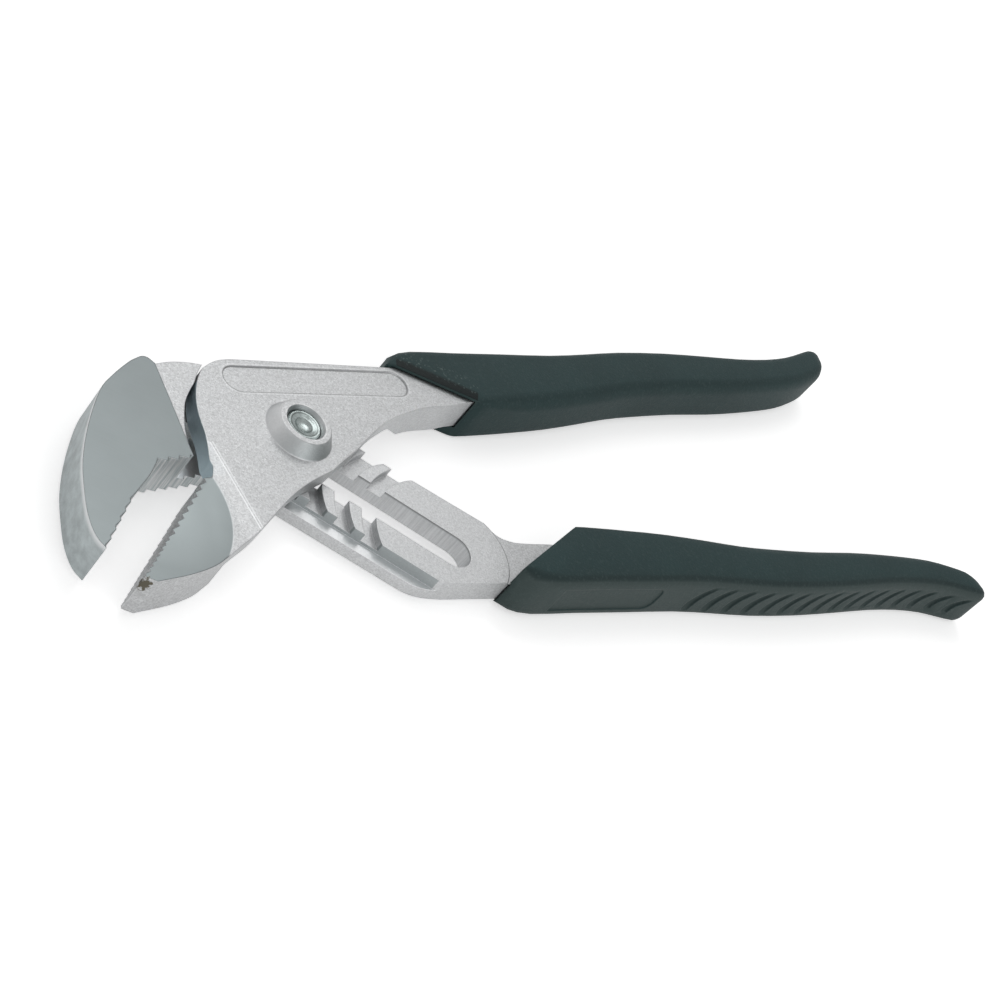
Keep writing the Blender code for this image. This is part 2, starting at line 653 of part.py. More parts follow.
def boss(name):
    """The raised boss round the bolt's end."""
    low = -PLATE_THICKNESS / 2
    rounding = BOSS_TOP_RADIUS / 20
    return turned(name, [(0, low), (BOSS_BASE_RADIUS, low), (BOSS_BASE_RADIUS, 0),
                         (BOSS_TOP_RADIUS, BOSS_HEIGHT - rounding), (BOSS_TOP_RADIUS - rounding, BOSS_HEIGHT),
                         (0, BOSS_HEIGHT)])


def bolt_bore(name):
    """The bore for the bolt with its countersink."""
    bore = BOLT_SHANK_RADIUS + JOINT_GAP
    return turned(name, [(0, -HEAD / 2), (bore, -HEAD / 2), (bore, BOSS_HEIGHT - COUNTERSINK_DEPTH),
                         (COUNTERSINK_RADIUS, BOSS_HEIGHT), (COUNTERSINK_RADIUS, BOSS_HEIGHT + OVERRUN),
                         (0, BOSS_HEIGHT + OVERRUN)])


def front_jaw_half(paint):
    """Front forging: jaw, plate with its boss and rib, arm and tang."""
    body = slab("front_jaw_half", front_outline(), BAR_BACK, 0, paint)
    rib_low = BAR_TOP - GROOVE_DEPTH + JOINT_GAP
    rib_half = GROOVE_WIDTH / 2 - JOINT_GAP
    sloped, upright = front_pocket(ARM_ROOT_RADIUS + ARM_ROOT_SLOPE), front_pocket(ARM_ROOT_RADIUS)
    pocket = [(sloped, BAR_BACK - OVERRUN), (sloped, -ARM_THICKNESS), (upright, -PLATE_THICKNESS)]
    steps = [(loft("front_pocket", pocket), "DIFFERENCE"),
             (slab("arm_underside", arm_underside(), BAR_BACK - OVERRUN, -ARM_THICKNESS), "DIFFERENCE"),
             (crease_cut("jaw_crease_cut", *sized(CREASE_SHARES), CREASE_LENGTH, JAW_FACE_DROP, 0), "DIFFERENCE"),
             (slab("badge_cut", stadium(*sized(BADGE_SHARES), BADGE_HALF_HEIGHT), -BADGE_DEPTH, OVERRUN),
              "DIFFERENCE"),
             (boss("boss"), "UNION"),
             (slab("rib", ring_sector(GROOVE_RADIUS - rib_half, GROOVE_RADIUS + rib_half, RIB_START_ANGLE,
                                      RIB_END_ANGLE), rib_low, -PLATE_THICKNESS / 2), "UNION"),
             (bolt_bore("bolt_bore"), "DIFFERENCE")]
    for other, operation in steps:
        combine(body, other, operation)
    return [body] + [other for other, _ in steps]


def joint_bolt(paint):
    """The shouldered bolt: wide back head, shoulder in the slot, shank in the plate, peened end."""
    low = GRIP_TOP - GRIP_THICKNESS
    seat = BAR_BACK + SLIDEWAY_DEPTH - JOINT_GAP
    end = BOSS_HEIGHT - BOLT_END_DROP
    cone = BOSS_HEIGHT - COUNTERSINK_DEPTH
    return turned("joint_bolt", [(0, low), (BOLT_HEAD_RADIUS - BOLT_EDGE, low), (BOLT_HEAD_RADIUS, low + BOLT_EDGE),
                                 (BOLT_HEAD_RADIUS, seat), (BOLT_SHOULDER_RADIUS, seat),
                                 (BOLT_SHOULDER_RADIUS, BAR_TOP), (BOLT_SHANK_RADIUS, BAR_TOP),
                                 (BOLT_SHANK_RADIUS, cone), (BOLT_END_RADIUS, end - BOLT_EDGE),
                                 (BOLT_END_RADIUS - BOLT_EDGE, end)]
                  + [(DIMPLE_RADIUS * out, end - DIMPLE_DEPTH * down) for out, down in DIMPLE_SHARES]
                  + [(0, end - DIMPLE_DEPTH)], paint)


def frame_empty(name, parent=None):
    """An empty that carries a body of the pliers."""
    made = bpy.data.objects.new(name, None)
    made.empty_display_size = HEAD / 5
    bpy.context.collection.objects.link(made)
    made.parent = parent
    return made


def centre_on_floor(root, pieces):
    """Move the pliers so that they lie on height zero with the box's middle over the origin."""
    bpy.context.view_layer.update()
    graph = bpy.context.evaluated_depsgraph_get()
    corners = []
    for piece in pieces:
        whole = piece.evaluated_get(graph)
        corners += [whole.matrix_world @ Vector(corner) for corner in whole.bound_box]
    low = [min(c[i] for c in corners) for i in range(3)]
    high = [max(c[i] for c in corners) for i in range(3)]
    root.location = (-(low[0] + high[0]) / 2, -(low[1] + high[1]) / 2, -low[2])


def main():
    clear_scene()
    metal, steel = chrome(), bright_steel()
    root = frame_empty("pliers")
    slide = frame_empty("bolt_slide", root)
    hinge = frame_empty("front_hinge", slide)
    rear = rear_jaw_half(metal)
    front = front_jaw_half(metal)
    bolt = joint_bolt(steel)
    upper_socket = arm_and_tang() + [Vector((ARM_ROOT_RADIUS / 2, ARM_TOP_SHARE[1] * HEAD))]
    upper = grip("upper_grip", UPPER_GRIP_PLACE, UPPER_GRIP_TILT, 1, upper_socket, -ARM_THICKNESS, 0,
                 grip_plastic("upper_grip_plastic"))
    lower_socket = rear_tang() + sized(RAIL_STEP_SHARES[:1] + BAR_TAIL_SHARES[-1:])
    lower = grip("lower_grip", LOWER_GRIP_PLACE, 0, -1, lower_socket, BAR_BACK, BAR_TOP,
                 grip_plastic("lower_grip_plastic"))
    for piece in rear + lower:
        piece.parent = root
    for piece in front + upper:
        piece.parent = hinge
    bolt.parent = slide
    centre_on_floor(root, [rear[0], front[0], bolt, upper[0], lower[0]])


if __name__ == "__main__":
    main()
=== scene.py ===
"""Looks of the groove joint pliers: blasted and ground chrome, moulded grips, studio and camera."""
import json
import math

import bmesh
import bpy
from bpy.props import FloatProperty, FloatVectorProperty, PointerProperty
from bpy.types import Operator, Panel, PropertyGroup
from mathutils import Matrix, Vector

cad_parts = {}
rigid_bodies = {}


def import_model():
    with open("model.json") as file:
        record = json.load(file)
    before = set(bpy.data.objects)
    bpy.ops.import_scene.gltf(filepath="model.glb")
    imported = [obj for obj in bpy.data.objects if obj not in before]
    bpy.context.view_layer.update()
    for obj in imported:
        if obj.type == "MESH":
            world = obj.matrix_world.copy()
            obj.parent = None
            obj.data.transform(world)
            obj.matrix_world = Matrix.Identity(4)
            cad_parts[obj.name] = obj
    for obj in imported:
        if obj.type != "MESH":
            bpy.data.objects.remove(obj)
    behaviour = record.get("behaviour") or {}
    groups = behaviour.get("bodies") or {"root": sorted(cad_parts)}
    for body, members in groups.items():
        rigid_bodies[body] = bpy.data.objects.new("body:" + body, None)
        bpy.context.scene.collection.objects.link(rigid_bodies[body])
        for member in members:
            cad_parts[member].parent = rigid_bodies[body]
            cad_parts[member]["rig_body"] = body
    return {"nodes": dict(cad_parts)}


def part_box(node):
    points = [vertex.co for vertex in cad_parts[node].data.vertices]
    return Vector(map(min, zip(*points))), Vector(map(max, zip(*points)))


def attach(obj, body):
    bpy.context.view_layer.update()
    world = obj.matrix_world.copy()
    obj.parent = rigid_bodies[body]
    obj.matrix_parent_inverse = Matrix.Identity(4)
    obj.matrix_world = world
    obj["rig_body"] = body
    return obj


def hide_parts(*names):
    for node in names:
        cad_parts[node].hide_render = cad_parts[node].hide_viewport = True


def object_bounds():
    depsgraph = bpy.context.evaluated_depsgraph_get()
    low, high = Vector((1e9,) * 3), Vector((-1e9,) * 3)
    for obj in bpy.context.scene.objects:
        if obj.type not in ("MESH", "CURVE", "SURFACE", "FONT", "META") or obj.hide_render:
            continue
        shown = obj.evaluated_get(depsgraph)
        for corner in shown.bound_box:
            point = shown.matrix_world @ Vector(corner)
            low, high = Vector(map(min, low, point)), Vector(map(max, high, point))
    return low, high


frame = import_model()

bl_info = {
    "name": "Groove joint pliers",
    "version": (1, 0, 0),
    "blender": (4, 5, 0),
    "location": "3D View > Sidebar > Pliers",
    "description": "Finishes of groove joint pliers and the studio they lie in",
    "category": "Object",
}

CAD_BOX = [list(corner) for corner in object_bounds()]

# The bolt's axis on the floor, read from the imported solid
BOLT_LOW, BOLT_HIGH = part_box("joint_bolt")
BOLT_FOOT = Vector(((BOLT_LOW.x + BOLT_HIGH.x) / 2, (BOLT_LOW.y + BOLT_HIGH.y) / 2, BOLT_LOW.z))

# Heights of the flat upward faces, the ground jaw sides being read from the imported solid
GROUND_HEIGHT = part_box("rear_jaw_half")[1].z
PLATE_TOP = GROUND_HEIGHT + 0.0003
TANG_TOP = GROUND_HEIGHT - 0.0043
RAIL_TOP = GROUND_HEIGHT - 0.0067

# Heights between which a mark grows from nothing to full
RIDGE_HEIGHTS = (GROUND_HEIGHT - 0.0014, GROUND_HEIGHT - 0.0003)
SLOT_LINE_HEIGHTS = (GROUND_HEIGHT - 0.0047, GROUND_HEIGHT - 0.0043)
BOSS_FOOT_HEIGHTS = (GROUND_HEIGHT + 0.0002, GROUND_HEIGHT + 0.0006)
BOSS_TOP_HEIGHTS = (GROUND_HEIGHT + 0.0024, GROUND_HEIGHT + 0.0030)

# Round regions in the plan: x and y from the bolt, and radius
JAW_BACK = (-0.0480, -0.0100, 0.0290)
THROAT = (-0.0300, -0.0085, 0.0115)
TANG_STEP = (0.03115, -0.0247, 0.0120)
TANG_STEP_SHOWN = (0.0431, -0.0247, 0.0095)
BAR = (0.0170, -0.0150, 0.0270)
FRONT_GROUND_EDGE = (-0.0425, -0.0166, 0.01915)
# Where painted light goes on the middle of the front ground side
FRONT_GROUND_PAINTED_LIGHT = (-0.0365, -0.0165, 0.0080)
BOSS = (0.0, 0.0, 0.0073)
ARM = (0.0360, 0.0040, 0.0170)
NECK_GAP = (-0.0240, 0.0010, 0.0118)

# Starts of lines and the chip, counted from the bolt's foot, and the ways that lines run
SHOULDER_START = (-0.0066, -0.0078)
RECESS_START = (-0.0090, 0.01245)
CREASE_START, CREASE_RUN = (-0.0214, -0.0032), (0.0034, -0.0217)
MOUTH_START, MOUTH_RUN = (0.03242, 0.01801), (0.01757, -0.00805)
CHIP_CENTRE = (-0.0464, -0.0334, 0.0090)

# Ways that walls face. The mask of a shorter one is full only on walls that face it squarely
UPWARD = (0.0, 0.0, 1.0)
JAW_BACK_WAY = (-0.94, -0.34, 0.0)
THROAT_WAY = (0.45, -0.89, 0.0)
BOSS_LIT_WAY = (-0.97, -0.26, 0.0)
BOSS_FLANK_WAY = (-0.03, -0.58, 0.0)
ARM_WALL_WAY = (0.20, -0.98, 0.0)
NECK_WALL_WAY = (-1.0, 0.1, 0.0)
GRIP_WALL_WAY = (0.0, -0.66, 0.0)

# Unit vectors along and across the slotted bar and the plate's round-ended recess
BAR_ALONG, BAR_ACROSS = (0.7660, -0.6428, 0.0), (0.6428, 0.7660, 0.0)
RECESS_ALONG, RECESS_ACROSS = (0.9995, 0.0305, 0.0), (-0.0305, 0.9995, 0.0)

# Bluish painted light on the neck wall
NECK_WALL_PAINTED_LIGHT = (0.78, 0.92, 0.98)
STREAK_SPACING = 0.00035

# Edges that bend more than this stay sharp
FORGED_BEND = math.radians(32.0)
TURNED_BEND = math.radians(35.0)
MOULDED_BEND = math.radians(50.0)

SENSOR_WIDTH = 36.0
NEAREST_SEEN = 0.01
WELD_DISTANCE = 1e-6
FLOOR_SIZE = 8.0
FLOOR_GAP = 0.0001

FLOAT, VECTOR = "NodeSocketFloat", "NodeSocketVector"


class SteelLook(PropertyGroup):
    """Sizes and colours of the chromed forgings and the bolt."""
    blasted: FloatVectorProperty(
        name="Blasted chrome", description="Colour of the blasted faces",
        subtype="COLOR", size=3, min=0, max=1, default=(0.590, 0.598, 0.604))
    ground: FloatVectorProperty(
        name="Ground chrome", description="Colour of the ground jaw sides",
        subtype="COLOR", size=3, min=0, max=1, default=(0.212, 0.236, 0.239))
    bright: FloatVectorProperty(
        name="Bright steel", description="Colour of the bolt",
        subtype="COLOR", size=3, min=0, max=1, default=(0.500, 0.560, 0.550))
    chipped: FloatVectorProperty(
        name="Chipped chrome", description="Colour of the steel where the chrome has chipped",
        subtype="COLOR", size=3, min=0, max=1, default=(0.140, 0.128, 0.098))
    blasted_roughness: FloatProperty(
        name="Blasted roughness", description="Roughness of the blasted faces",
        subtype="FACTOR", min=0, max=1, default=0.44)
    ground_roughness: FloatProperty(
        name="Ground roughness", description="Roughness of the ground jaw sides",
        subtype="FACTOR", min=0, max=1, default=0.34)
    grain: FloatProperty(
        name="Blasting grain", description="Size of the pits left by blasting",
        unit="LENGTH", precision=5, min=0.00005, default=0.00028)
    grain_depth: FloatProperty(
        name="Grain depth", description="Depth of the blasting pits",
        unit="LENGTH", precision=6, min=0, default=0.000038)
    edge: FloatProperty(
        name="Edge rounding", description="Radius of the forgings' worn edges",
        unit="LENGTH", precision=5, min=0, default=0.00024)


class GripLook(PropertyGroup):
    """Sizes and colours of the moulded grips."""
    plastic: FloatVectorProperty(
        name="Plastic", description="Colour of the moulded grips",
        subtype="COLOR", size=3, min=0, max=1, default=(0.019, 0.044, 0.045))
    # Also the colour of the painted glints and of the painted highlight on the grips' edges
    worn: FloatVectorProperty(
        name="Worn plastic", description="Colour of the grips' rubbed edges",
        subtype="COLOR", size=3, min=0, max=1, default=(0.085, 0.120, 0.115))
    # Painted light on the grips' outer walls, the lower grip's most
    light_painted: FloatVectorProperty(
        name="Lit plastic", description="Colour of the lower grip's outer wall",
        subtype="COLOR", size=3, min=0, max=1, default=(0.052, 0.072, 0.069))
    roughness: FloatProperty(
        name="Roughness", description="Roughness of the plastic",
        subtype="FACTOR", min=0, max=1, default=0.50)
    gloss: FloatProperty(
        name="Gloss level", description="Strength of the plastic's reflections",
        subtype="FACTOR", min=0, max=1, default=0.22)
    grain: FloatProperty(
        name="Spark grain", description="Size of the mould's spark texture",
        unit="LENGTH", precision=5, min=0.00005, default=0.00045)
    grain_depth: FloatProperty(
        name="Grain depth", description="Depth of the spark texture",
        unit="LENGTH", precision=6, min=0, default=0.00006)
    edge: FloatProperty(
        name="Edge rounding", description="Radius of the mouldings' edges",
        unit="LENGTH", precision=5, min=0, default=0.0005)


class StageLook(PropertyGroup):
    """The camera, the floor and the lights."""
    camera: FloatVectorProperty(
        name="Camera", description="The camera from the bolt's foot",
        subtype="TRANSLATION", size=3, default=(-0.23140, -0.19417, 0.24675))
    aim: FloatVectorProperty(
        name="Aim", description="The picture's middle from the bolt's foot",
        subtype="TRANSLATION", size=3, default=(0.05101, -0.01095, 0.00500))
    roll: FloatProperty(
        name="Roll", description="Turn of the camera about its line of sight",
        subtype="ANGLE", default=math.radians(42.81))
    lens: FloatProperty(
        name="Lens", description="Focal length of the camera on a 36 mm sensor",
        subtype="DISTANCE_CAMERA", min=1, default=72.0)
    floor: FloatVectorProperty(
        name="Floor", description="Colour of the floor",
        subtype="COLOR", size=3, min=0, max=1, default=(0.90, 0.90, 0.90))
    floor_seen: FloatProperty(
        name="Floor white", description="Light that the camera sees in the floor",
        min=0, max=1, default=0.50)
    floor_mirrored: FloatProperty(
        name="Floor in reflections", description="Light that reflections see in the floor",
        min=0, max=1, default=0.20)
    high_place: FloatVectorProperty(
        name="High softbox", description="Where the high softbox hangs",
        subtype="TRANSLATION", size=3, default=(0.25, 0.46, 0.76))
    high_size: FloatProperty(
        name="High softbox size", description="Side of the high softbox",
        unit="LENGTH", min=0.01, default=0.45)
    high_watts: FloatProperty(
        name="High light", description="Strength of the high softbox in watts",
        min=0, default=1.30)
    front_place: FloatVectorProperty(
        name="Front softbox", description="Where the low front softbox stands",
        subtype="TRANSLATION", size=3, default=(0.00, -0.76, 0.22))
    front_size: FloatProperty(
        name="Front softbox size", description="Side of the low front softbox",
        unit="LENGTH", min=0.01, default=0.60)
    front_watts: FloatProperty(
        name="Front light", description="Strength of the low front softbox in watts",
        min=0, default=1.25)
    fill: FloatProperty(
        name="Fill light", description="Strength of the plain studio light",
        min=0, default=0.55)


class PliersLooks(PropertyGroup):
    """All the settings of the pliers' looks."""
    steel: PointerProperty(type=SteelLook)
    grip: PointerProperty(type=GripLook)
    stage: PointerProperty(type=StageLook)


def looks():
    """The settings kept in the scene."""
    return bpy.context.scene.pliers_looks


# Shader building
def add_node(tree, kind, values=(), **settings):
    """A node with its settings, and its inputs' values by name."""
    made = tree.nodes.new(kind)
    for name, value in settings.items():
        setattr(made, name, value)
    for name, value in dict(values).items():
        made.inputs[name].default_value = value
    return made


def joined(tree, *pairs):
    """Link each output to each input."""
    for output, target in pairs:
        tree.links.new(output, target)


def maths(tree, operation, first, second=0.0, clamp=False):
    """A Math node on two values or outputs, as its output."""
    made = add_node(tree, "ShaderNodeMath", operation=operation, use_clamp=clamp)
    for i, item in enumerate((first, second)):
        if isinstance(item, (int, float)):
            made.inputs[i].default_value = item
        else:
            tree.links.new(item, made.inputs[i])
    return made.outputs["Value"]


def product(tree, first, *others):
    """Several outputs multiplied."""
    for other in others:
        first = maths(tree, "MULTIPLY", first, other)
    return first


def rest_of(tree, value, clamp=False):
    """One minus a value."""
    return maths(tree, "SUBTRACT", 1.0, value, clamp)


def spread_about(tree, value, middle, spread):
    """A value from 0 to 1 turned into one that lies about a middle."""
    made = maths(tree, "MULTIPLY_ADD", value, spread)
    made.node.inputs[2].default_value = middle - spread / 2
    return made


def mix_value(tree, factor, first, second):
    """A Mix node on two outputs, as its output."""
    made = add_node(tree, "ShaderNodeMix")
    joined(tree, *zip((factor, first, second), (made.inputs[i] for i in (0, 2, 3))))
    return made.outputs[0]


def mix_colour(tree, factor, first, second):
    """A Mix node on a factor and two colours, each a value or an output, as its output."""
    made = add_node(tree, "ShaderNodeMix", data_type="RGBA")
    for label, item in (("Factor", factor), ("A", first), ("B", second)):
        socket = next(s for s in made.inputs if s.name == label and s.enabled)
        if isinstance(item, bpy.types.NodeSocket):
            tree.links.new(item, socket)
        elif label == "Factor":
            socket.default_value = item
        else:
            socket.default_value = (*item, 1.0)
    return next(s for s in made.outputs if s.enabled)


def shade(colour, share):
    """A colour made darker or lighter by a share."""
    return tuple(min(1.0, c * share) for c in colour)


def two_tone(tree, mask, colour, low, high):
    """A colour between two of its shades, as the mask goes from 0 to 1."""
    return mix_colour(tree, mask, shade(colour, low), shade(colour, high))


def painted(tree, colour, mask, tone, share=None):
    """A colour covered with another where the mask says, wholly or by a share."""
    cover = mask if share is None else maths(tree, "MULTIPLY", mask, share)
    return mix_colour(tree, cover, colour, tone)


def new_group(name, inputs, outputs):
    """An empty shader node group with its sockets, and its input and output nodes."""
    tree = bpy.data.node_groups.new(name, "ShaderNodeTree")
    for label, kind, default in inputs:
        socket = tree.interface.new_socket(name=label, in_out="INPUT", socket_type=kind)
        if default is not None:
            socket.default_value = default
    for label, kind in outputs:
        tree.interface.new_socket(name=label, in_out="OUTPUT", socket_type=kind)
    return tree, tree.nodes.new("NodeGroupInput"), tree.nodes.new("NodeGroupOutput")


def group_node(tree, name, **values):
    """A group placed in a tree with its own values."""
    made = add_node(tree, "ShaderNodeGroup", node_tree=bpy.data.node_groups[name])
    for label, value in values.items():
        made.inputs[label].default_value = value
    return made


def group_at(tree, place, name, **values):
    """A group placed in a tree with its own values, which reads the place on the piece."""
    made = group_node(tree, name, **values)
    joined(tree, (place, made.inputs["Place"]))
    return made


# Shared shader groups
def build_grain_group():
    """Pits of a blasted or spark-eroded surface from 0 to 1, with glints and uneven specks."""
    tree, enter, leave = new_group(
        "surface_grain", [("Place", VECTOR, None), ("Grain", FLOAT, 0.0003)],
        [("Height", FLOAT), ("Glint", FLOAT), ("Speck", FLOAT)])
    per_metre = maths(tree, "DIVIDE", 1.0, enter.outputs["Grain"])
    pits = add_node(tree, "ShaderNodeTexVoronoi", feature="F1")
    rough = add_node(tree, "ShaderNodeTexNoise", {"Detail": 3.0, "Roughness": 0.6})
    chance = add_node(tree, "ShaderNodeSeparateColor")
    joined(tree, (enter.outputs["Place"], pits.inputs["Vector"]),
           (enter.outputs["Place"], rough.inputs["Vector"]),
           (per_metre, pits.inputs["Scale"]), (per_metre, rough.inputs["Scale"]),
           (pits.outputs["Color"], chance.inputs["Color"]))
    height = maths(tree, "ADD", maths(tree, "MULTIPLY", pits.outputs["Distance"], 0.5),
                   maths(tree, "MULTIPLY", rough.outputs["Fac"], 0.5))
    height = maths(tree, "ADD", height, maths(tree, "MULTIPLY", chance.outputs["Green"], 0.3))
    glint = add_node(tree, "ShaderNodeMapRange", {"From Min": 0.80, "From Max": 0.97})
    speck = maths(tree, "ADD", maths(tree, "MULTIPLY", chance.outputs["Red"], 0.5),
                  maths(tree, "MULTIPLY", rough.outputs["Fac"], 0.5))
    joined(tree, (height, leave.inputs["Height"]), (chance.outputs["Blue"], glint.inputs["Value"]),
           (glint.outputs["Result"], leave.inputs["Glint"]), (speck, leave.inputs["Speck"]))


def build_cloud_group():
    """Slow uneven tone across a surface, from 0 to 1."""
    tree, enter, leave = new_group(
        "uneven_tone", [("Place", VECTOR, None), ("Patch", FLOAT, 0.008)], [("Tone", FLOAT)])
    noise = add_node(tree, "ShaderNodeTexNoise", {"Detail": 4.0, "Roughness": 0.55})
    spread = add_node(tree, "ShaderNodeMapRange", {"From Min": 0.3, "From Max": 0.7})
    joined(tree, (enter.outputs["Place"], noise.inputs["Vector"]),
           (maths(tree, "DIVIDE", 1.0, enter.outputs["Patch"]), noise.inputs["Scale"]),
           (noise.outputs["Fac"], spread.inputs["Value"]),
           (spread.outputs["Result"], leave.inputs["Tone"]))


def build_grinding_group():
    """Fine parallel grinding marks at an angle in the plan, as a height from 0 to 1."""
    tree, enter, leave = new_group(
        "grinding_marks", [("Place", VECTOR, None), ("Angle", FLOAT, 0.0),
                           ("Spacing", FLOAT, 0.0002), ("Length", FLOAT, 0.01)],
        [("Height", FLOAT)])
    turn = add_node(tree, "ShaderNodeVectorRotate", rotation_type="Z_AXIS")
    parts = add_node(tree, "ShaderNodeSeparateXYZ")
    stretched = add_node(tree, "ShaderNodeCombineXYZ")
    noise = add_node(tree, "ShaderNodeTexNoise", {"Scale": 1.0, "Detail": 2.0})
    joined(tree, (enter.outputs["Place"], turn.inputs["Vector"]),
           (enter.outputs["Angle"], turn.inputs["Angle"]),
           (turn.outputs["Vector"], parts.inputs["Vector"]),
           (maths(tree, "DIVIDE", parts.outputs["X"], enter.outputs["Length"]),
            stretched.inputs["X"]),
           (maths(tree, "DIVIDE", parts.outputs["Y"], enter.outputs["Spacing"]),
            stretched.inputs["Y"]),
           (stretched.outputs["Vector"], noise.inputs["Vector"]),
           (noise.outputs["Fac"], leave.inputs["Height"]))


def build_edge_group():
    """Rounded edges: a softened normal, and a mask of the edges, which are lightened partly as wear
    and partly as painted highlight.
    """
    tree, enter, leave = new_group(
        "rounded_edge", [("Radius", FLOAT, 0.0003)], [("Normal", VECTOR), ("Wear_and_highlight", FLOAT)])
    bevel = add_node(tree, "ShaderNodeBevel", samples=8)
    flat = add_node(tree, "ShaderNodeNewGeometry")
    facing = add_node(tree, "ShaderNodeVectorMath", operation="DOT_PRODUCT")
    wear = add_node(tree, "ShaderNodeMapRange", {"From Min": 0.995, "From Max": 0.85})
    joined(tree, (enter.outputs["Radius"], bevel.inputs["Radius"]),
           (bevel.outputs["Normal"], facing.inputs[0]), (flat.outputs["Normal"], facing.inputs[1]),
           (facing.outputs["Value"], wear.inputs["Value"]),
           (bevel.outputs["Normal"], leave.inputs["Normal"]),
           (wear.outputs["Result"], leave.inputs["Wear_and_highlight"]))


def build_face_group():
    """A mask of the faces that look up between two heights."""
    tree, enter, leave = new_group(
        "upward_face", [("Place", VECTOR, None), ("Low", FLOAT, 0.0), ("High", FLOAT, 1.0)],
        [("Mask", FLOAT)])
    flat = add_node(tree, "ShaderNodeNewGeometry")
    up = add_node(tree, "ShaderNodeSeparateXYZ")
    place = add_node(tree, "ShaderNodeSeparateXYZ")
    joined(tree, (flat.outputs["True Normal"], up.inputs["Vector"]),
           (enter.outputs["Place"], place.inputs["Vector"]))
    mask = product(tree, maths(tree, "GREATER_THAN", up.outputs["Z"], 0.97),
                   maths(tree, "GREATER_THAN", place.outputs["Z"], enter.outputs["Low"]),
                   maths(tree, "LESS_THAN", place.outputs["Z"], enter.outputs["High"]))
    joined(tree, (mask, leave.inputs["Mask"]))


def build_circle_group():
    """A mask of what lies inside a circle in the plan, with a soft rim, and a mask of the rim."""
    tree, enter, leave = new_group(
        "plan_circle", [("Place", VECTOR, None), ("Centre", VECTOR, None),
                        ("Radius", FLOAT, 0.01), ("Rim", FLOAT, 0.0002)],
        [("Inside", FLOAT), ("Edge", FLOAT)])
    away = add_node(tree, "ShaderNodeVectorMath", operation="SUBTRACT")
    plan = add_node(tree, "ShaderNodeVectorMath", {1: (1.0, 1.0, 0.0)}, operation="MULTIPLY")
    reach = add_node(tree, "ShaderNodeVectorMath", operation="LENGTH")
    joined(tree, (enter.outputs["Place"], away.inputs[0]),
           (enter.outputs["Centre"], away.inputs[1]), (away.outputs["Vector"], plan.inputs[0]),
           (plan.outputs["Vector"], reach.inputs[0]))
    within = maths(tree, "SUBTRACT", enter.outputs["Radius"], reach.outputs["Value"])
    share = maths(tree, "DIVIDE", within, enter.outputs["Rim"])
    edge = rest_of(tree, maths(tree, "ABSOLUTE", share), clamp=True)
    joined(tree, (maths(tree, "ADD", share, 0.5, clamp=True), leave.inputs["Inside"]),
           (edge, leave.inputs["Edge"]))


def along_and_across(tree, enter):
    """How far a place lies along a line in the plan from its start, and across it."""
    away = add_node(tree, "ShaderNodeVectorMath", operation="SUBTRACT")
    joined(tree, (enter.outputs["Place"], away.inputs[0]), (enter.outputs["Start"], away.inputs[1]))
    reaches = []
    for label in ("Along", "Across"):
        reach = add_node(tree, "ShaderNodeVectorMath", operation="DOT_PRODUCT")
        joined(tree, (away.outputs["Vector"], reach.inputs[0]),
               (enter.outputs[label], reach.inputs[1]))
        reaches.append(reach.outputs["Value"])
    return reaches


def build_line_group():
    """A mask of a straight line in the plan; Along and Across are unit vectors."""
    tree, enter, leave = new_group(
        "plan_line", [("Place", VECTOR, None), ("Start", VECTOR, None), ("Across", VECTOR, None),
                      ("Along", VECTOR, None), ("Length", FLOAT, 0.01), ("Width", FLOAT, 0.0003)],
        [("Mask", FLOAT)])
    along, across = along_and_across(tree, enter)
    near = maths(tree, "DIVIDE", maths(tree, "ABSOLUTE", across), enter.outputs["Width"])
    mask = product(tree, rest_of(tree, near, clamp=True),
                   maths(tree, "GREATER_THAN", along, 0.0),
                   maths(tree, "LESS_THAN", along, enter.outputs["Length"]))
    joined(tree, (mask, leave.inputs["Mask"]))


def build_capsule_group():
    """A mask of a round-ended slot's outline in the plan; Along and Across are unit vectors."""
    tree, enter, leave = new_group(
        "plan_capsule", [("Place", VECTOR, None), ("Start", VECTOR, None),
                         ("Across", VECTOR, None), ("Along", VECTOR, None),
                         ("Length", FLOAT, 0.01), ("Radius", FLOAT, 0.003), ("Rim", FLOAT, 0.0002)],
        [("Edge", FLOAT)])
    along, across = along_and_across(tree, enter)
    past = maths(tree, "MAXIMUM", maths(tree, "SUBTRACT", along, enter.outputs["Length"]),
                 maths(tree, "MULTIPLY", along, -1.0))
    past = maths(tree, "MAXIMUM", past, 0.0)
    square = maths(tree, "ADD", product(tree, past, past), product(tree, across, across))
    off = maths(tree, "SUBTRACT", maths(tree, "POWER", square, 0.5), enter.outputs["Radius"])
    near = maths(tree, "DIVIDE", maths(tree, "ABSOLUTE", off), enter.outputs["Rim"])
    joined(tree, (rest_of(tree, near, clamp=True), leave.inputs["Edge"]))


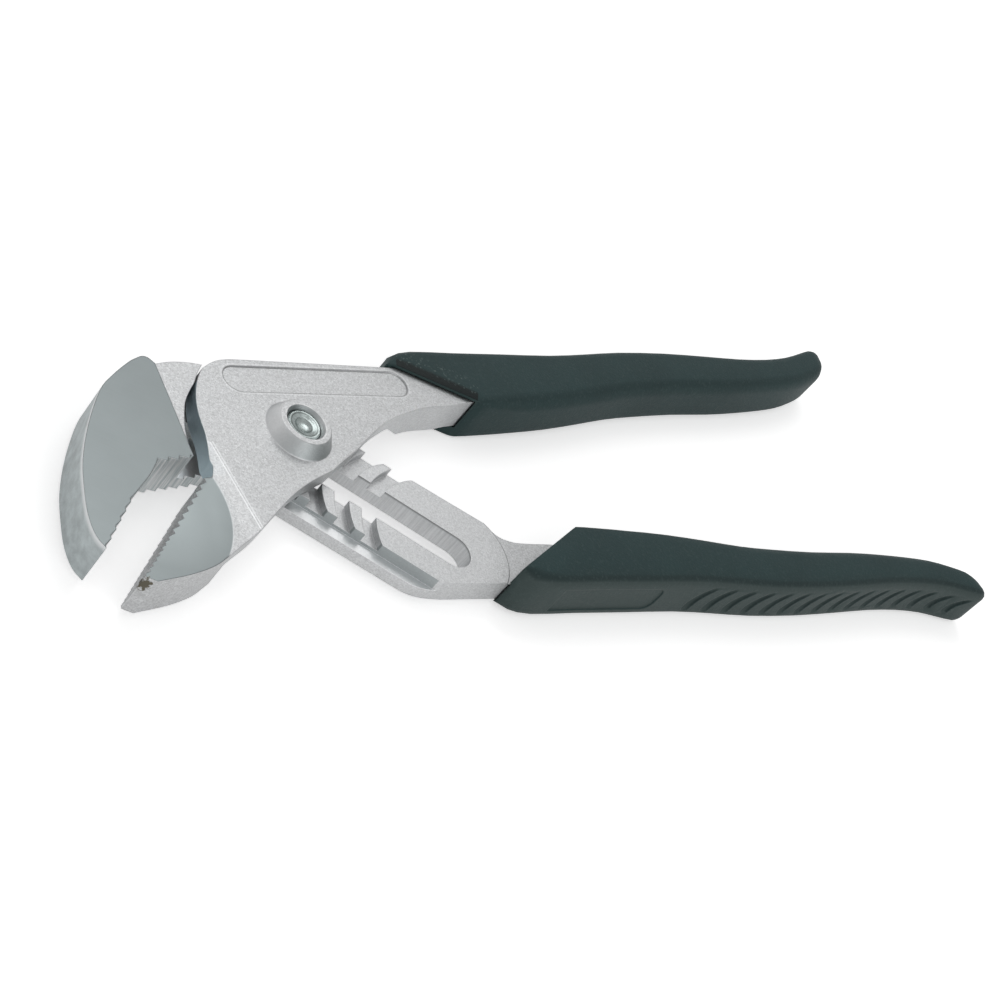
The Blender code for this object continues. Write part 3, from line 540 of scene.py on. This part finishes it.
def build_streak_group():
    """Fine upright streaks on walls, from 0 to 1, as left by cutting and as the light and shade on
    fine upright ridges.
    """
    tree, enter, leave = new_group(
        "upright_streaks", [("Place", VECTOR, None), ("Spacing", FLOAT, 0.0004)],
        [("Tone", FLOAT)])
    parts = add_node(tree, "ShaderNodeSeparateXYZ")
    squeezed = add_node(tree, "ShaderNodeCombineXYZ")
    noise = add_node(tree, "ShaderNodeTexNoise", {"Scale": 1.0, "Detail": 3.0, "Roughness": 0.6})
    spread = add_node(tree, "ShaderNodeMapRange", {"From Min": 0.35, "From Max": 0.65})
    joined(tree, (enter.outputs["Place"], parts.inputs["Vector"]),
           (maths(tree, "DIVIDE", parts.outputs["X"], enter.outputs["Spacing"]),
            squeezed.inputs["X"]),
           (maths(tree, "DIVIDE", parts.outputs["Y"], enter.outputs["Spacing"]),
            squeezed.inputs["Y"]),
           (maths(tree, "MULTIPLY", parts.outputs["Z"], 100.0), squeezed.inputs["Z"]),
           (squeezed.outputs["Vector"], noise.inputs["Vector"]),
           (noise.outputs["Fac"], spread.inputs["Value"]),
           (spread.outputs["Result"], leave.inputs["Tone"]))


def build_wall_group():
    """A mask of the walls that face a way, and how far up between two heights a place is."""
    tree, enter, leave = new_group(
        "wall_facing", [("Place", VECTOR, None), ("Way", VECTOR, None), ("Low", FLOAT, 0.0),
                        ("High", FLOAT, 0.01)],
        [("Mask", FLOAT), ("Rise", FLOAT)])
    surface = add_node(tree, "ShaderNodeTexCoord")
    facing = add_node(tree, "ShaderNodeVectorMath", operation="DOT_PRODUCT")
    parts = add_node(tree, "ShaderNodeSeparateXYZ")
    rise = add_node(tree, "ShaderNodeMapRange")
    turned = add_node(tree, "ShaderNodeMapRange", {"From Min": 0.05, "From Max": 0.50})
    joined(tree, (surface.outputs["Normal"], facing.inputs[0]),
           (enter.outputs["Way"], facing.inputs[1]),
           (enter.outputs["Place"], parts.inputs["Vector"]),
           (parts.outputs["Z"], rise.inputs["Value"]),
           (enter.outputs["Low"], rise.inputs["From Min"]),
           (enter.outputs["High"], rise.inputs["From Max"]),
           (facing.outputs["Value"], turned.inputs["Value"]),
           (turned.outputs["Result"], leave.inputs["Mask"]),
           (rise.outputs["Result"], leave.inputs["Rise"]))


def build_spot_group():
    """A mask of a ragged spot about a point."""
    tree, enter, leave = new_group(
        "ragged_spot", [("Place", VECTOR, None), ("Centre", VECTOR, None),
                        ("Radius", FLOAT, 0.001)],
        [("Mask", FLOAT)])
    reach = add_node(tree, "ShaderNodeVectorMath", operation="DISTANCE")
    noise = add_node(tree, "ShaderNodeTexNoise", {"Scale": 1400.0, "Detail": 3.0})
    joined(tree, (enter.outputs["Place"], reach.inputs[0]),
           (enter.outputs["Centre"], reach.inputs[1]),
           (enter.outputs["Place"], noise.inputs["Vector"]))
    share = maths(tree, "DIVIDE", reach.outputs["Value"], enter.outputs["Radius"])
    ragged = maths(tree, "ADD", share, maths(tree, "MULTIPLY", noise.outputs["Fac"], 1.4))
    edge = add_node(tree, "ShaderNodeMapRange", {"From Min": 1.55, "From Max": 1.40})
    joined(tree, (ragged, edge.inputs["Value"]), (edge.outputs["Result"], leave.inputs["Mask"]))


GROUP_BUILDERS = (build_grain_group, build_cloud_group, build_grinding_group, build_edge_group,
                  build_face_group, build_circle_group, build_line_group, build_capsule_group,
                  build_streak_group, build_wall_group, build_spot_group)


def build_groups():
    """Build the shared shader groups once."""
    if "surface_grain" not in bpy.data.node_groups:
        for build in GROUP_BUILDERS:
            build()


# Masks on the pieces
def from_bolt(x, y, z=0.0):
    """A place counted from the bolt's foot."""
    return BOLT_FOOT + Vector((x, y, z))


def plan_directions(x, y):
    """The unit vectors along a direction in the plan and across it."""
    along = Vector((x, y, 0.0)).normalized()
    return along, Vector((-along.y, along.x, 0.0))


def circle_at(tree, place, region, rim):
    """The masks of a round region in the plan."""
    x, y, radius = region
    return group_at(tree, place, "plan_circle", Centre=from_bolt(x, y), Radius=radius, Rim=rim)


def inside(tree, place, region, rim=0.0002):
    """A mask of what lies inside a round region in the plan."""
    return circle_at(tree, place, region, rim).outputs["Inside"]


def ring_mask(tree, place, region, width):
    """A mask of the ring round a region in the plan."""
    return circle_at(tree, place, region, width).outputs["Edge"]


def upward_at(tree, place, height, slack=0.0001):
    """A mask of the upward faces about a height."""
    face = group_at(tree, place, "upward_face", Low=height - slack, High=height + slack)
    return face.outputs["Mask"]


def walls_facing(tree, place, way, heights=(0.0, 0.01)):
    """A mask of the walls that face a way, and how far up between two heights they are."""
    low, high = heights
    wall = group_at(tree, place, "wall_facing", Way=way, Low=low, High=high)
    return wall.outputs["Mask"], wall.outputs["Rise"]


def line_mask(tree, place, start, along, across, length, width):
    """A mask of a straight line in the plan, strongest in its middle."""
    line = group_at(tree, place, "plan_line", Start=start, Along=along, Across=across,
                    Length=length, Width=width)
    return line.outputs["Mask"]


def band_mask(tree, place, start, along, across, length, width, steepness):
    """A mask of a straight band in the plan, full but for its soft sides."""
    line = line_mask(tree, place, start, along, across, length, width)
    return maths(tree, "MULTIPLY", line, steepness, clamp=True)


# Materials
def new_material(name, metallic):
    """A material with its Principled shader."""
    made = bpy.data.materials.new(name)
    made.use_nodes = True
    tree = made.node_tree
    shader = tree.nodes["Principled BSDF"]
    shader.inputs["Metallic"].default_value = metallic
    return made, tree, shader


def place_on_piece(tree):
    """The place on the piece that a material covers."""
    return add_node(tree, "ShaderNodeTexCoord").outputs["Object"]


def finish_surface(tree, shader, colour, rough, height, normal, strength, depth):
    """Give a shader its colour and roughness, and bumps on top of its normal."""
    bump = add_node(tree, "ShaderNodeBump", {"Strength": strength, "Distance": depth})
    joined(tree, (height, bump.inputs["Height"]), (normal, bump.inputs["Normal"]),
           (colour, shader.inputs["Base Color"]), (rough, shader.inputs["Roughness"]),
           (bump.outputs["Normal"], shader.inputs["Normal"]))


def steel_material(name, ground_faces, marks):
    """Blasted chrome with ground faces where the mask says, rounded edges lightened as wear and
    painted highlight, grain with painted glints, and marks.
    """
    steel = looks().steel
    made, tree, shader = new_material(name, metallic=1.0)
    place = place_on_piece(tree)
    grain = group_at(tree, place, "surface_grain", Grain=steel.grain)
    cloud = group_at(tree, place, "uneven_tone", Patch=0.009).outputs["Tone"]
    scratches = group_at(tree, place, "grinding_marks", Angle=math.radians(28.0), Spacing=0.00022,
                         Length=0.012).outputs["Height"]
    edge = group_node(tree, "rounded_edge", Radius=steel.edge)
    mask, rim = ground_faces(tree, place)
    # A lighter shade for the painted glints in the grain and for the edges' wear and painted
    # highlight
    worn = shade(steel.blasted, 1.40)

    specks = two_tone(tree, grain.outputs["Speck"], steel.blasted, low=0.58, high=1.38)
    blasted = two_tone(tree, cloud, steel.blasted, low=0.96, high=1.03)
    blasted = mix_colour(tree, 0.70, blasted, specks)
    # Painted glints in the grain
    blasted = painted(tree, blasted, grain.outputs["Glint"], worn, share=0.35)
    # Edges lightened, partly as wear and partly as painted highlight
    blasted = painted(tree, blasted, edge.outputs["Wear_and_highlight"], worn, share=0.55)
    ground = two_tone(tree, cloud, steel.ground, low=0.94, high=1.06)
    ground = painted(tree, ground, scratches, shade(steel.ground, 1.08))
    if rim is not None:
        ground = painted(tree, ground, rim, steel.blasted, share=0.45)
    colour = painted(tree, blasted, mask, ground)
    for mark in marks:
        colour = mark(tree, place, colour, steel)

    rough_blasted = spread_about(tree, grain.outputs["Height"], steel.blasted_roughness, 0.10)
    rough_ground = spread_about(tree, scratches, steel.ground_roughness, 0.08)
    rough = mix_value(tree, mask, rough_blasted, rough_ground)
    height = mix_value(tree, mask, grain.outputs["Height"],
                       maths(tree, "MULTIPLY", scratches, 0.08))
    finish_surface(tree, shader, colour, rough, height, edge.outputs["Normal"], strength=1.0,
                   depth=steel.grain_depth)
    return made


def rear_ground(tree, place):
    """The ground side of the rear jaw, which is the only upward face at its height."""
    return upward_at(tree, place, GROUND_HEIGHT), None


def front_ground(tree, place):
    """The ground side of the front jaw within the wheel's round edge, and that edge."""
    circle = circle_at(tree, place, FRONT_GROUND_EDGE, rim=0.0003)
    face = upward_at(tree, place, GROUND_HEIGHT)
    return product(tree, face, circle.outputs["Inside"]), circle.outputs["Edge"]


def jaw_back_marks(tree, place, colour, steel):
    """The smooth mottled back of the rear jaw, with a painted highlight along its ridge."""
    back, rise = walls_facing(tree, place, JAW_BACK_WAY, RIDGE_HEIGHTS)
    behind = product(tree, back, inside(tree, place, JAW_BACK, rim=0.008))
    mottle = group_at(tree, place, "uneven_tone", Patch=0.0022).outputs["Tone"]
    smooth = two_tone(tree, mottle, steel.ground, low=1.75, high=2.55)
    colour = painted(tree, colour, behind, smooth, share=0.85)
    # Painted highlight along the ridge
    ridge = product(tree, behind, rise)
    return painted(tree, colour, ridge, shade(steel.blasted, 1.50), share=0.8)


def throat_marks(tree, place, colour, steel):
    """Streaks on the throat wall between the jaws: painted light and shade of its fine cut ridges
    and flutes, on a wall painted lighter.
    """
    wall, _ = walls_facing(tree, place, THROAT_WAY)
    cut = product(tree, wall, inside(tree, place, THROAT))
    streaks = group_at(tree, place, "upright_streaks", Spacing=STREAK_SPACING).outputs["Tone"]
    # Painted light and shade of the throat's ridges and flutes, on painted light
    lines = mix_colour(tree, streaks, shade(steel.ground, 2.60), shade(steel.blasted, 1.69))
    return painted(tree, colour, cut, lines, share=0.9)


def tang_step_line(tree, place, colour, steel):
    """Painted shade along the arc where the bar steps down to the tang."""
    # Painted shade at the foot of the step
    arc = product(tree, ring_mask(tree, place, TANG_STEP, width=0.00026),
                  upward_at(tree, place, TANG_TOP, slack=0.0003),
                  inside(tree, place, TANG_STEP_SHOWN))
    return painted(tree, colour, arc, shade(steel.blasted, 0.35))


def bar_marks(tree, place, colour, steel):
    """The bar made lighter, its streaked slot walls with painted light under a line of painted
    shade, painted shade on its shoulder and painted light on its rail.
    """
    above, rise = walls_facing(tree, place, UPWARD, SLOT_LINE_HEIGHTS)
    upright = rest_of(tree, above)
    slot = band_mask(tree, place, BOLT_FOOT, BAR_ALONG, BAR_ACROSS, length=0.0430, width=0.0062,
                     steepness=3.0)
    slot = product(tree, slot, upright)
    shoulder = band_mask(tree, place, from_bolt(*SHOULDER_START), BAR_ALONG, BAR_ACROSS,
                         length=0.0376, width=0.0006, steepness=3.0)
    shoulder = product(tree, shoulder, upright)
    streaks = group_at(tree, place, "upright_streaks", Spacing=STREAK_SPACING).outputs["Tone"]
    bright = two_tone(tree, streaks, steel.blasted, low=1.18, high=1.48)
    bar = inside(tree, place, BAR, rim=0.006)
    line = product(tree, slot, rise)
    rail = upward_at(tree, place, RAIL_TOP)
    # Lighter bar; painted light on the slot walls and the rail, painted shade on the shoulder and
    # along the slot's upper line
    colour = painted(tree, colour, bar, shade(steel.blasted, 1.60), share=0.20)
    colour = painted(tree, colour, slot, bright, share=0.75)
    colour = painted(tree, colour, shoulder, shade(steel.ground, 1.60), share=0.75)
    colour = painted(tree, colour, line, shade(steel.blasted, 0.42), share=0.75)
    return painted(tree, colour, rail, shade(steel.blasted, 1.62), share=0.9)


def crease_lines(tree, place, colour, steel):
    """Painted highlights along the forging crease across the plate, as two fine lines."""
    along, across = plan_directions(*CREASE_RUN)
    top = upward_at(tree, place, PLATE_TOP, slack=0.0002)
    for shift, light in ((-0.0003, 1.50), (0.0003, 1.35)):
        line = line_mask(tree, place, from_bolt(*CREASE_START) + across * shift, along, across,
                         length=0.030, width=0.00024)
        # Painted highlights
        colour = painted(tree, colour, product(tree, line, top), shade(steel.blasted, light))
    return colour


def recess_outline(tree, place, colour, steel):
    """A painted highlight on the lip and painted shade at the foot round the plate's round-ended
    recess.
    """
    above, _ = walls_facing(tree, place, UPWARD)
    for radius, share, light in ((0.00360, 0.45, 1.40), (0.00318, 0.75, 0.30)):
        outline = group_at(tree, place, "plan_capsule", Start=from_bolt(*RECESS_START),
                           Along=RECESS_ALONG, Across=RECESS_ACROSS, Length=0.0394,
                           Radius=radius, Rim=0.00022).outputs["Edge"]
        # Painted highlight on the lip, then painted shade at the foot
        colour = painted(tree, colour, product(tree, outline, above),
                         shade(steel.blasted, light), share)
    return colour


def boss_marks(tree, place, colour, steel):
    """The boss's worn rings with painted highlight, painted light on its lit side and painted shade
    on the flank that faces the front.
    """
    blotch = group_at(tree, place, "uneven_tone", Patch=0.0008).outputs["Tone"]
    wear_and_highlight_tone = two_tone(tree, blotch, steel.blasted, low=0.75, high=1.68)
    _, top = walls_facing(tree, place, UPWARD, BOSS_TOP_HEIGHTS)
    # Worn rings on the boss top, lightened partly as painted highlight
    for radius, width in ((0.00560, 0.00035), (0.00440, 0.00022)):
        ring = product(tree, ring_mask(tree, place, (0.0, 0.0, radius), width), top)
        colour = painted(tree, colour, ring, wear_and_highlight_tone, share=0.9)
    boss = inside(tree, place, BOSS)
    lit, _ = walls_facing(tree, place, BOSS_LIT_WAY)
    flank, rise = walls_facing(tree, place, BOSS_FLANK_WAY, BOSS_FOOT_HEIGHTS)
    lit = product(tree, lit, boss)
    flank = product(tree, flank, rise, boss)
    # Painted light on the lit side, painted shade on the front flank
    colour = painted(tree, colour, lit, shade(steel.blasted, 1.65), share=0.70)
    return painted(tree, colour, flank, shade(steel.ground, 1.35), share=0.80)


def front_wall_marks(tree, place, colour, steel):
    """Painted light on the wall of the arm, on the pale middle of the ground side and, bluish, on
    the neck wall.
    """
    arm, _ = walls_facing(tree, place, ARM_WALL_WAY)
    neck, _ = walls_facing(tree, place, NECK_WALL_WAY)
    arm = product(tree, arm, inside(tree, place, ARM, rim=0.008))
    middle = product(tree, inside(tree, place, FRONT_GROUND_PAINTED_LIGHT, rim=0.014),
                     upward_at(tree, place, GROUND_HEIGHT))
    neck = product(tree, neck, inside(tree, place, NECK_GAP))
    # Painted light on the arm wall, the ground side's middle and the neck wall
    colour = painted(tree, colour, arm, shade(steel.blasted, 1.62), share=0.30)
    colour = painted(tree, colour, middle, shade(steel.ground, 1.55), share=0.9)
    return painted(tree, colour, neck, NECK_WALL_PAINTED_LIGHT, share=0.9)


def tip_chip(tree, place, colour, steel):
    """The spot at the front jaw's tip where the chrome has chipped off."""
    chip = group_at(tree, place, "ragged_spot", Centre=from_bolt(*CHIP_CENTRE), Radius=0.0021)
    return painted(tree, colour, chip.outputs["Mask"], steel.chipped)


REAR_MARKS = (jaw_back_marks, throat_marks, tang_step_line, bar_marks)
FRONT_MARKS = (crease_lines, recess_outline, boss_marks, front_wall_marks, tip_chip)


def bolt_material():
    """Bright turned steel with rings of painted shade about the bolt's axis, at its grooves and
    steps.
    """
    steel = looks().steel
    made, tree, shader = new_material("peened_steel", metallic=1.0)
    place = place_on_piece(tree)
    grain = group_at(tree, place, "surface_grain", Grain=steel.grain)
    cloud = group_at(tree, place, "uneven_tone", Patch=0.0012).outputs["Tone"]
    edge = group_node(tree, "rounded_edge", Radius=steel.edge / 3)
    colour = two_tone(tree, cloud, steel.bright, low=0.70, high=1.20)
    # Rings of painted shade
    for radius, light in ((0.00285, 0.30), (0.00190, 0.55), (0.00415, 0.35)):
        ring = ring_mask(tree, place, (0.0, 0.0, radius), width=0.00022)
        colour = painted(tree, colour, ring, shade(steel.bright, light))
    finish_surface(tree, shader, colour, spread_about(tree, cloud, 0.28, 0.16),
                   grain.outputs["Height"], edge.outputs["Normal"], strength=0.5,
                   depth=steel.grain_depth)
    return made


def mouth_rim(tree, place, colour, grip, glint):
    """Painted shade on the bevelled rim along the upper grip's mouth, and painted glints beside it.
    """
    along, across = plan_directions(*MOUTH_RUN)
    above, _ = walls_facing(tree, place, UPWARD)
    rim, beside = (
        product(tree, band_mask(tree, place, from_bolt(*MOUTH_START) + across * inward, along,
                                across, length=0.020, width=width, steepness=2.0), above)
        for inward, width in ((0.0007, 0.0018), (0.0034, 0.0024)))
    # Painted shade on the bevel, then painted glints beside it
    colour = painted(tree, colour, rim, shade(grip.plastic, 0.15), share=0.90)
    specks = product(tree, beside, glint)
    return painted(tree, colour, specks, shade(grip.worn, 1.10), share=0.8)


def grip_material(name, wall_share, fold_share, has_rim):
    """Dark moulded plastic: spark texture, painted light on the outer wall below a band of painted
    shade at the fold, edges lightened as wear and painted highlight, painted glints.
    """
    grip = looks().grip
    made, tree, shader = new_material(name, metallic=0.0)
    shader.inputs["Specular IOR Level"].default_value = grip.gloss
    place = place_on_piece(tree)
    grain = group_at(tree, place, "surface_grain", Grain=grip.grain)
    cloud = group_at(tree, place, "uneven_tone", Patch=0.015).outputs["Tone"]
    edge = group_node(tree, "rounded_edge", Radius=grip.edge)
    wall, _ = walls_facing(tree, place, GRIP_WALL_WAY)
    fold = maths(tree, "MULTIPLY", product(tree, wall, rest_of(tree, wall)), fold_share,
                 clamp=True)
    colour = two_tone(tree, cloud, grip.plastic, low=0.90, high=1.10)
    colour = painted(tree, colour, grain.outputs["Speck"], shade(grip.plastic, 1.6), share=0.25)
    # Painted light on the outer wall, and painted shade where the top bends into it
    colour = painted(tree, colour, wall, grip.light_painted, wall_share)
    colour = painted(tree, colour, fold, shade(grip.plastic, 0.50))
    # Edges lightened as wear and as painted highlight, and painted glints in the grain
    colour = painted(tree, colour, edge.outputs["Wear_and_highlight"], grip.worn, share=0.3)
    colour = painted(tree, colour, grain.outputs["Glint"], grip.worn, share=0.16)
    if has_rim:
        colour = mouth_rim(tree, place, colour, grip, grain.outputs["Glint"])
    rough = spread_about(tree, grain.outputs["Height"], grip.roughness, 0.16)
    finish_surface(tree, shader, colour, rough, grain.outputs["Height"], edge.outputs["Normal"],
                   strength=1.0, depth=grip.grain_depth)
    return made


# Pieces
def dressed(node, name, material, bend):
    """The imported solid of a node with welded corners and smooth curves, standing for it."""
    solid = frame["nodes"][node]
    mesh = bpy.data.meshes.new(name)
    shape = bmesh.new()
    shape.from_mesh(solid.data)
    bmesh.ops.remove_doubles(shape, verts=shape.verts, dist=WELD_DISTANCE)
    shape.to_mesh(mesh)
    shape.free()
    mesh.attributes.remove(mesh.attributes["custom_normal"])
    mesh.shade_smooth()
    mesh.set_sharp_from_angle(angle=bend)
    mesh.materials.clear()
    mesh.materials.append(material)
    piece = bpy.data.objects.new(name, mesh)
    bpy.context.collection.objects.link(piece)
    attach(piece, solid["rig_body"])
    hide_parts(node)
    return piece


class PLIERS_OT_rear_half(Operator):
    """Finish the rear forging: blasted bar and neck, ground jaw side"""
    bl_idname = "pliers.rear_half"
    bl_label = "Rear half"

    def execute(self, context):
        build_groups()
        dressed("rear_jaw_half", "rear_forging",
                steel_material("rear_chrome", rear_ground, REAR_MARKS), FORGED_BEND)
        return {"FINISHED"}


class PLIERS_OT_front_half(Operator):
    """Finish the front forging: blasted plate and arm, ground jaw side"""
    bl_idname = "pliers.front_half"
    bl_label = "Front half"

    def execute(self, context):
        build_groups()
        dressed("front_jaw_half", "front_forging",
                steel_material("front_chrome", front_ground, FRONT_MARKS), FORGED_BEND)
        return {"FINISHED"}


class PLIERS_OT_bolt(Operator):
    """Finish the bolt that the halves turn on"""
    bl_idname = "pliers.bolt"
    bl_label = "Bolt"

    def execute(self, context):
        build_groups()
        dressed("joint_bolt", "peened_bolt", bolt_material(), TURNED_BEND)
        return {"FINISHED"}


class PLIERS_OT_grips(Operator):
    """Finish both moulded grips"""
    bl_idname = "pliers.grips"
    bl_label = "Grips"

    def execute(self, context):
        build_groups()
        dressed("upper_grip", "upper_moulding",
                grip_material("upper_plastic", wall_share=0.15, fold_share=1.2, has_rim=True),
                MOULDED_BEND)
        dressed("lower_grip", "lower_moulding",
                grip_material("lower_plastic", wall_share=0.85, fold_share=2.4, has_rim=False),
                MOULDED_BEND)
        return {"FINISHED"}


# Stage
def floor_material(stage):
    """A plain pale floor, lit up for the camera and for reflections, that keeps the shadow."""
    made, tree, shader = new_material("pale_floor", metallic=0.0)
    shader.inputs["Base Color"].default_value = (*stage.floor, 1.0)
    shader.inputs["Roughness"].default_value = 0.9
    shader.inputs["Specular IOR Level"].default_value = 0.0
    shader.inputs["Emission Color"].default_value = (1.0, 1.0, 1.0, 1.0)
    path = add_node(tree, "ShaderNodeLightPath")
    mirrored = maths(tree, "ADD", path.outputs["Is Glossy Ray"],
                     path.outputs["Is Transmission Ray"], clamp=True)
    light = maths(tree, "ADD",
                  maths(tree, "MULTIPLY", path.outputs["Is Camera Ray"], stage.floor_seen),
                  maths(tree, "MULTIPLY", mirrored, stage.floor_mirrored))
    joined(tree, (light, shader.inputs["Emission Strength"]))
    return made


def build_floor(stage):
    """The large floor that the pliers lie on."""
    bpy.ops.mesh.primitive_plane_add(size=FLOOR_SIZE,
                                     location=(0.0, 0.0, CAD_BOX[0][2] - FLOOR_GAP))
    floor = bpy.context.object
    floor.name = "floor"
    floor.data.materials.append(floor_material(stage))


def build_world(strength):
    """Even studio light of a strength, white where the camera sees it."""
    world = bpy.data.worlds.new("studio")
    bpy.context.scene.world = world
    world.use_nodes = True
    tree = world.node_tree
    backdrop = tree.nodes["Background"]
    backdrop.inputs["Color"].default_value = (1.0, 1.0, 1.0, 1.0)
    path = add_node(tree, "ShaderNodeLightPath")
    seen = maths(tree, "MULTIPLY", path.outputs["Is Camera Ray"], 1.0 - strength)
    joined(tree, (maths(tree, "ADD", seen, strength), backdrop.inputs["Strength"]))


def build_light(name, place, size, watts):
    """A square softbox that points at the frame's origin."""
    lamp = bpy.data.lights.new(name, "AREA")
    lamp.shape = "SQUARE"
    lamp.size = size
    lamp.energy = watts
    made = bpy.data.objects.new(name, lamp)
    made.location = place
    made.rotation_euler = (Vector() - Vector(place)).to_track_quat("-Z", "Y").to_euler()
    bpy.context.collection.objects.link(made)


def build_camera(stage):
    """The camera at the photograph's place."""
    camera = bpy.data.cameras.new("camera")
    camera.lens = stage.lens
    camera.sensor_width = SENSOR_WIDTH
    camera.clip_start = NEAREST_SEEN
    made = bpy.data.objects.new("camera", camera)
    sight = Vector(stage.aim) - Vector(stage.camera)
    turn = sight.to_track_quat("-Z", "Y").to_matrix() @ Matrix.Rotation(stage.roll, 3, "Z")
    made.matrix_world = Matrix.Translation(from_bolt(*stage.camera)) @ turn.to_4x4()
    bpy.context.collection.objects.link(made)
    bpy.context.scene.camera = made


class PLIERS_OT_stage(Operator):
    """Build the floor, the lights and the camera"""
    bl_idname = "pliers.stage"
    bl_label = "Stage"

    def execute(self, context):
        stage = looks().stage
        build_floor(stage)
        build_world(stage.fill)
        build_light("high_softbox", stage.high_place, stage.high_size, stage.high_watts)
        build_light("front_softbox", stage.front_place, stage.front_size, stage.front_watts)
        build_camera(stage)
        context.scene.view_settings.view_transform = "Standard"
        return {"FINISHED"}


STEPS = (PLIERS_OT_stage, PLIERS_OT_rear_half, PLIERS_OT_front_half, PLIERS_OT_bolt,
         PLIERS_OT_grips)


class PLIERS_PT_looks(Panel):
    """Settings and steps of the pliers' looks"""
    bl_label = "Groove joint pliers"
    bl_idname = "PLIERS_PT_looks"
    bl_space_type = "VIEW_3D"
    bl_region_type = "UI"
    bl_category = "Pliers"

    def draw(self, context):
        for title in ("steel", "grip", "stage"):
            box = self.layout.box()
            settings = getattr(looks(), title)
            for name in settings.bl_rna.properties.keys():
                if name not in ("rna_type", "name"):
                    box.prop(settings, name)
        for step in STEPS:
            self.layout.operator(step.bl_idname)


CLASSES = (SteelLook, GripLook, StageLook, PliersLooks, *STEPS, PLIERS_PT_looks)


def register():
    """Add the settings, the steps and the panel to Blender."""
    for item in CLASSES:
        bpy.utils.register_class(item)
    bpy.types.Scene.pliers_looks = PointerProperty(type=PliersLooks)


def unregister():
    """Take them away again."""
    del bpy.types.Scene.pliers_looks
    for item in reversed(CLASSES):
        bpy.utils.unregister_class(item)


def main():
    """Run every step."""
    register()
    for step in STEPS:
        group, name = step.bl_idname.split(".")
        getattr(getattr(bpy.ops, group), name)()


if __name__ == "__main__":
    main()
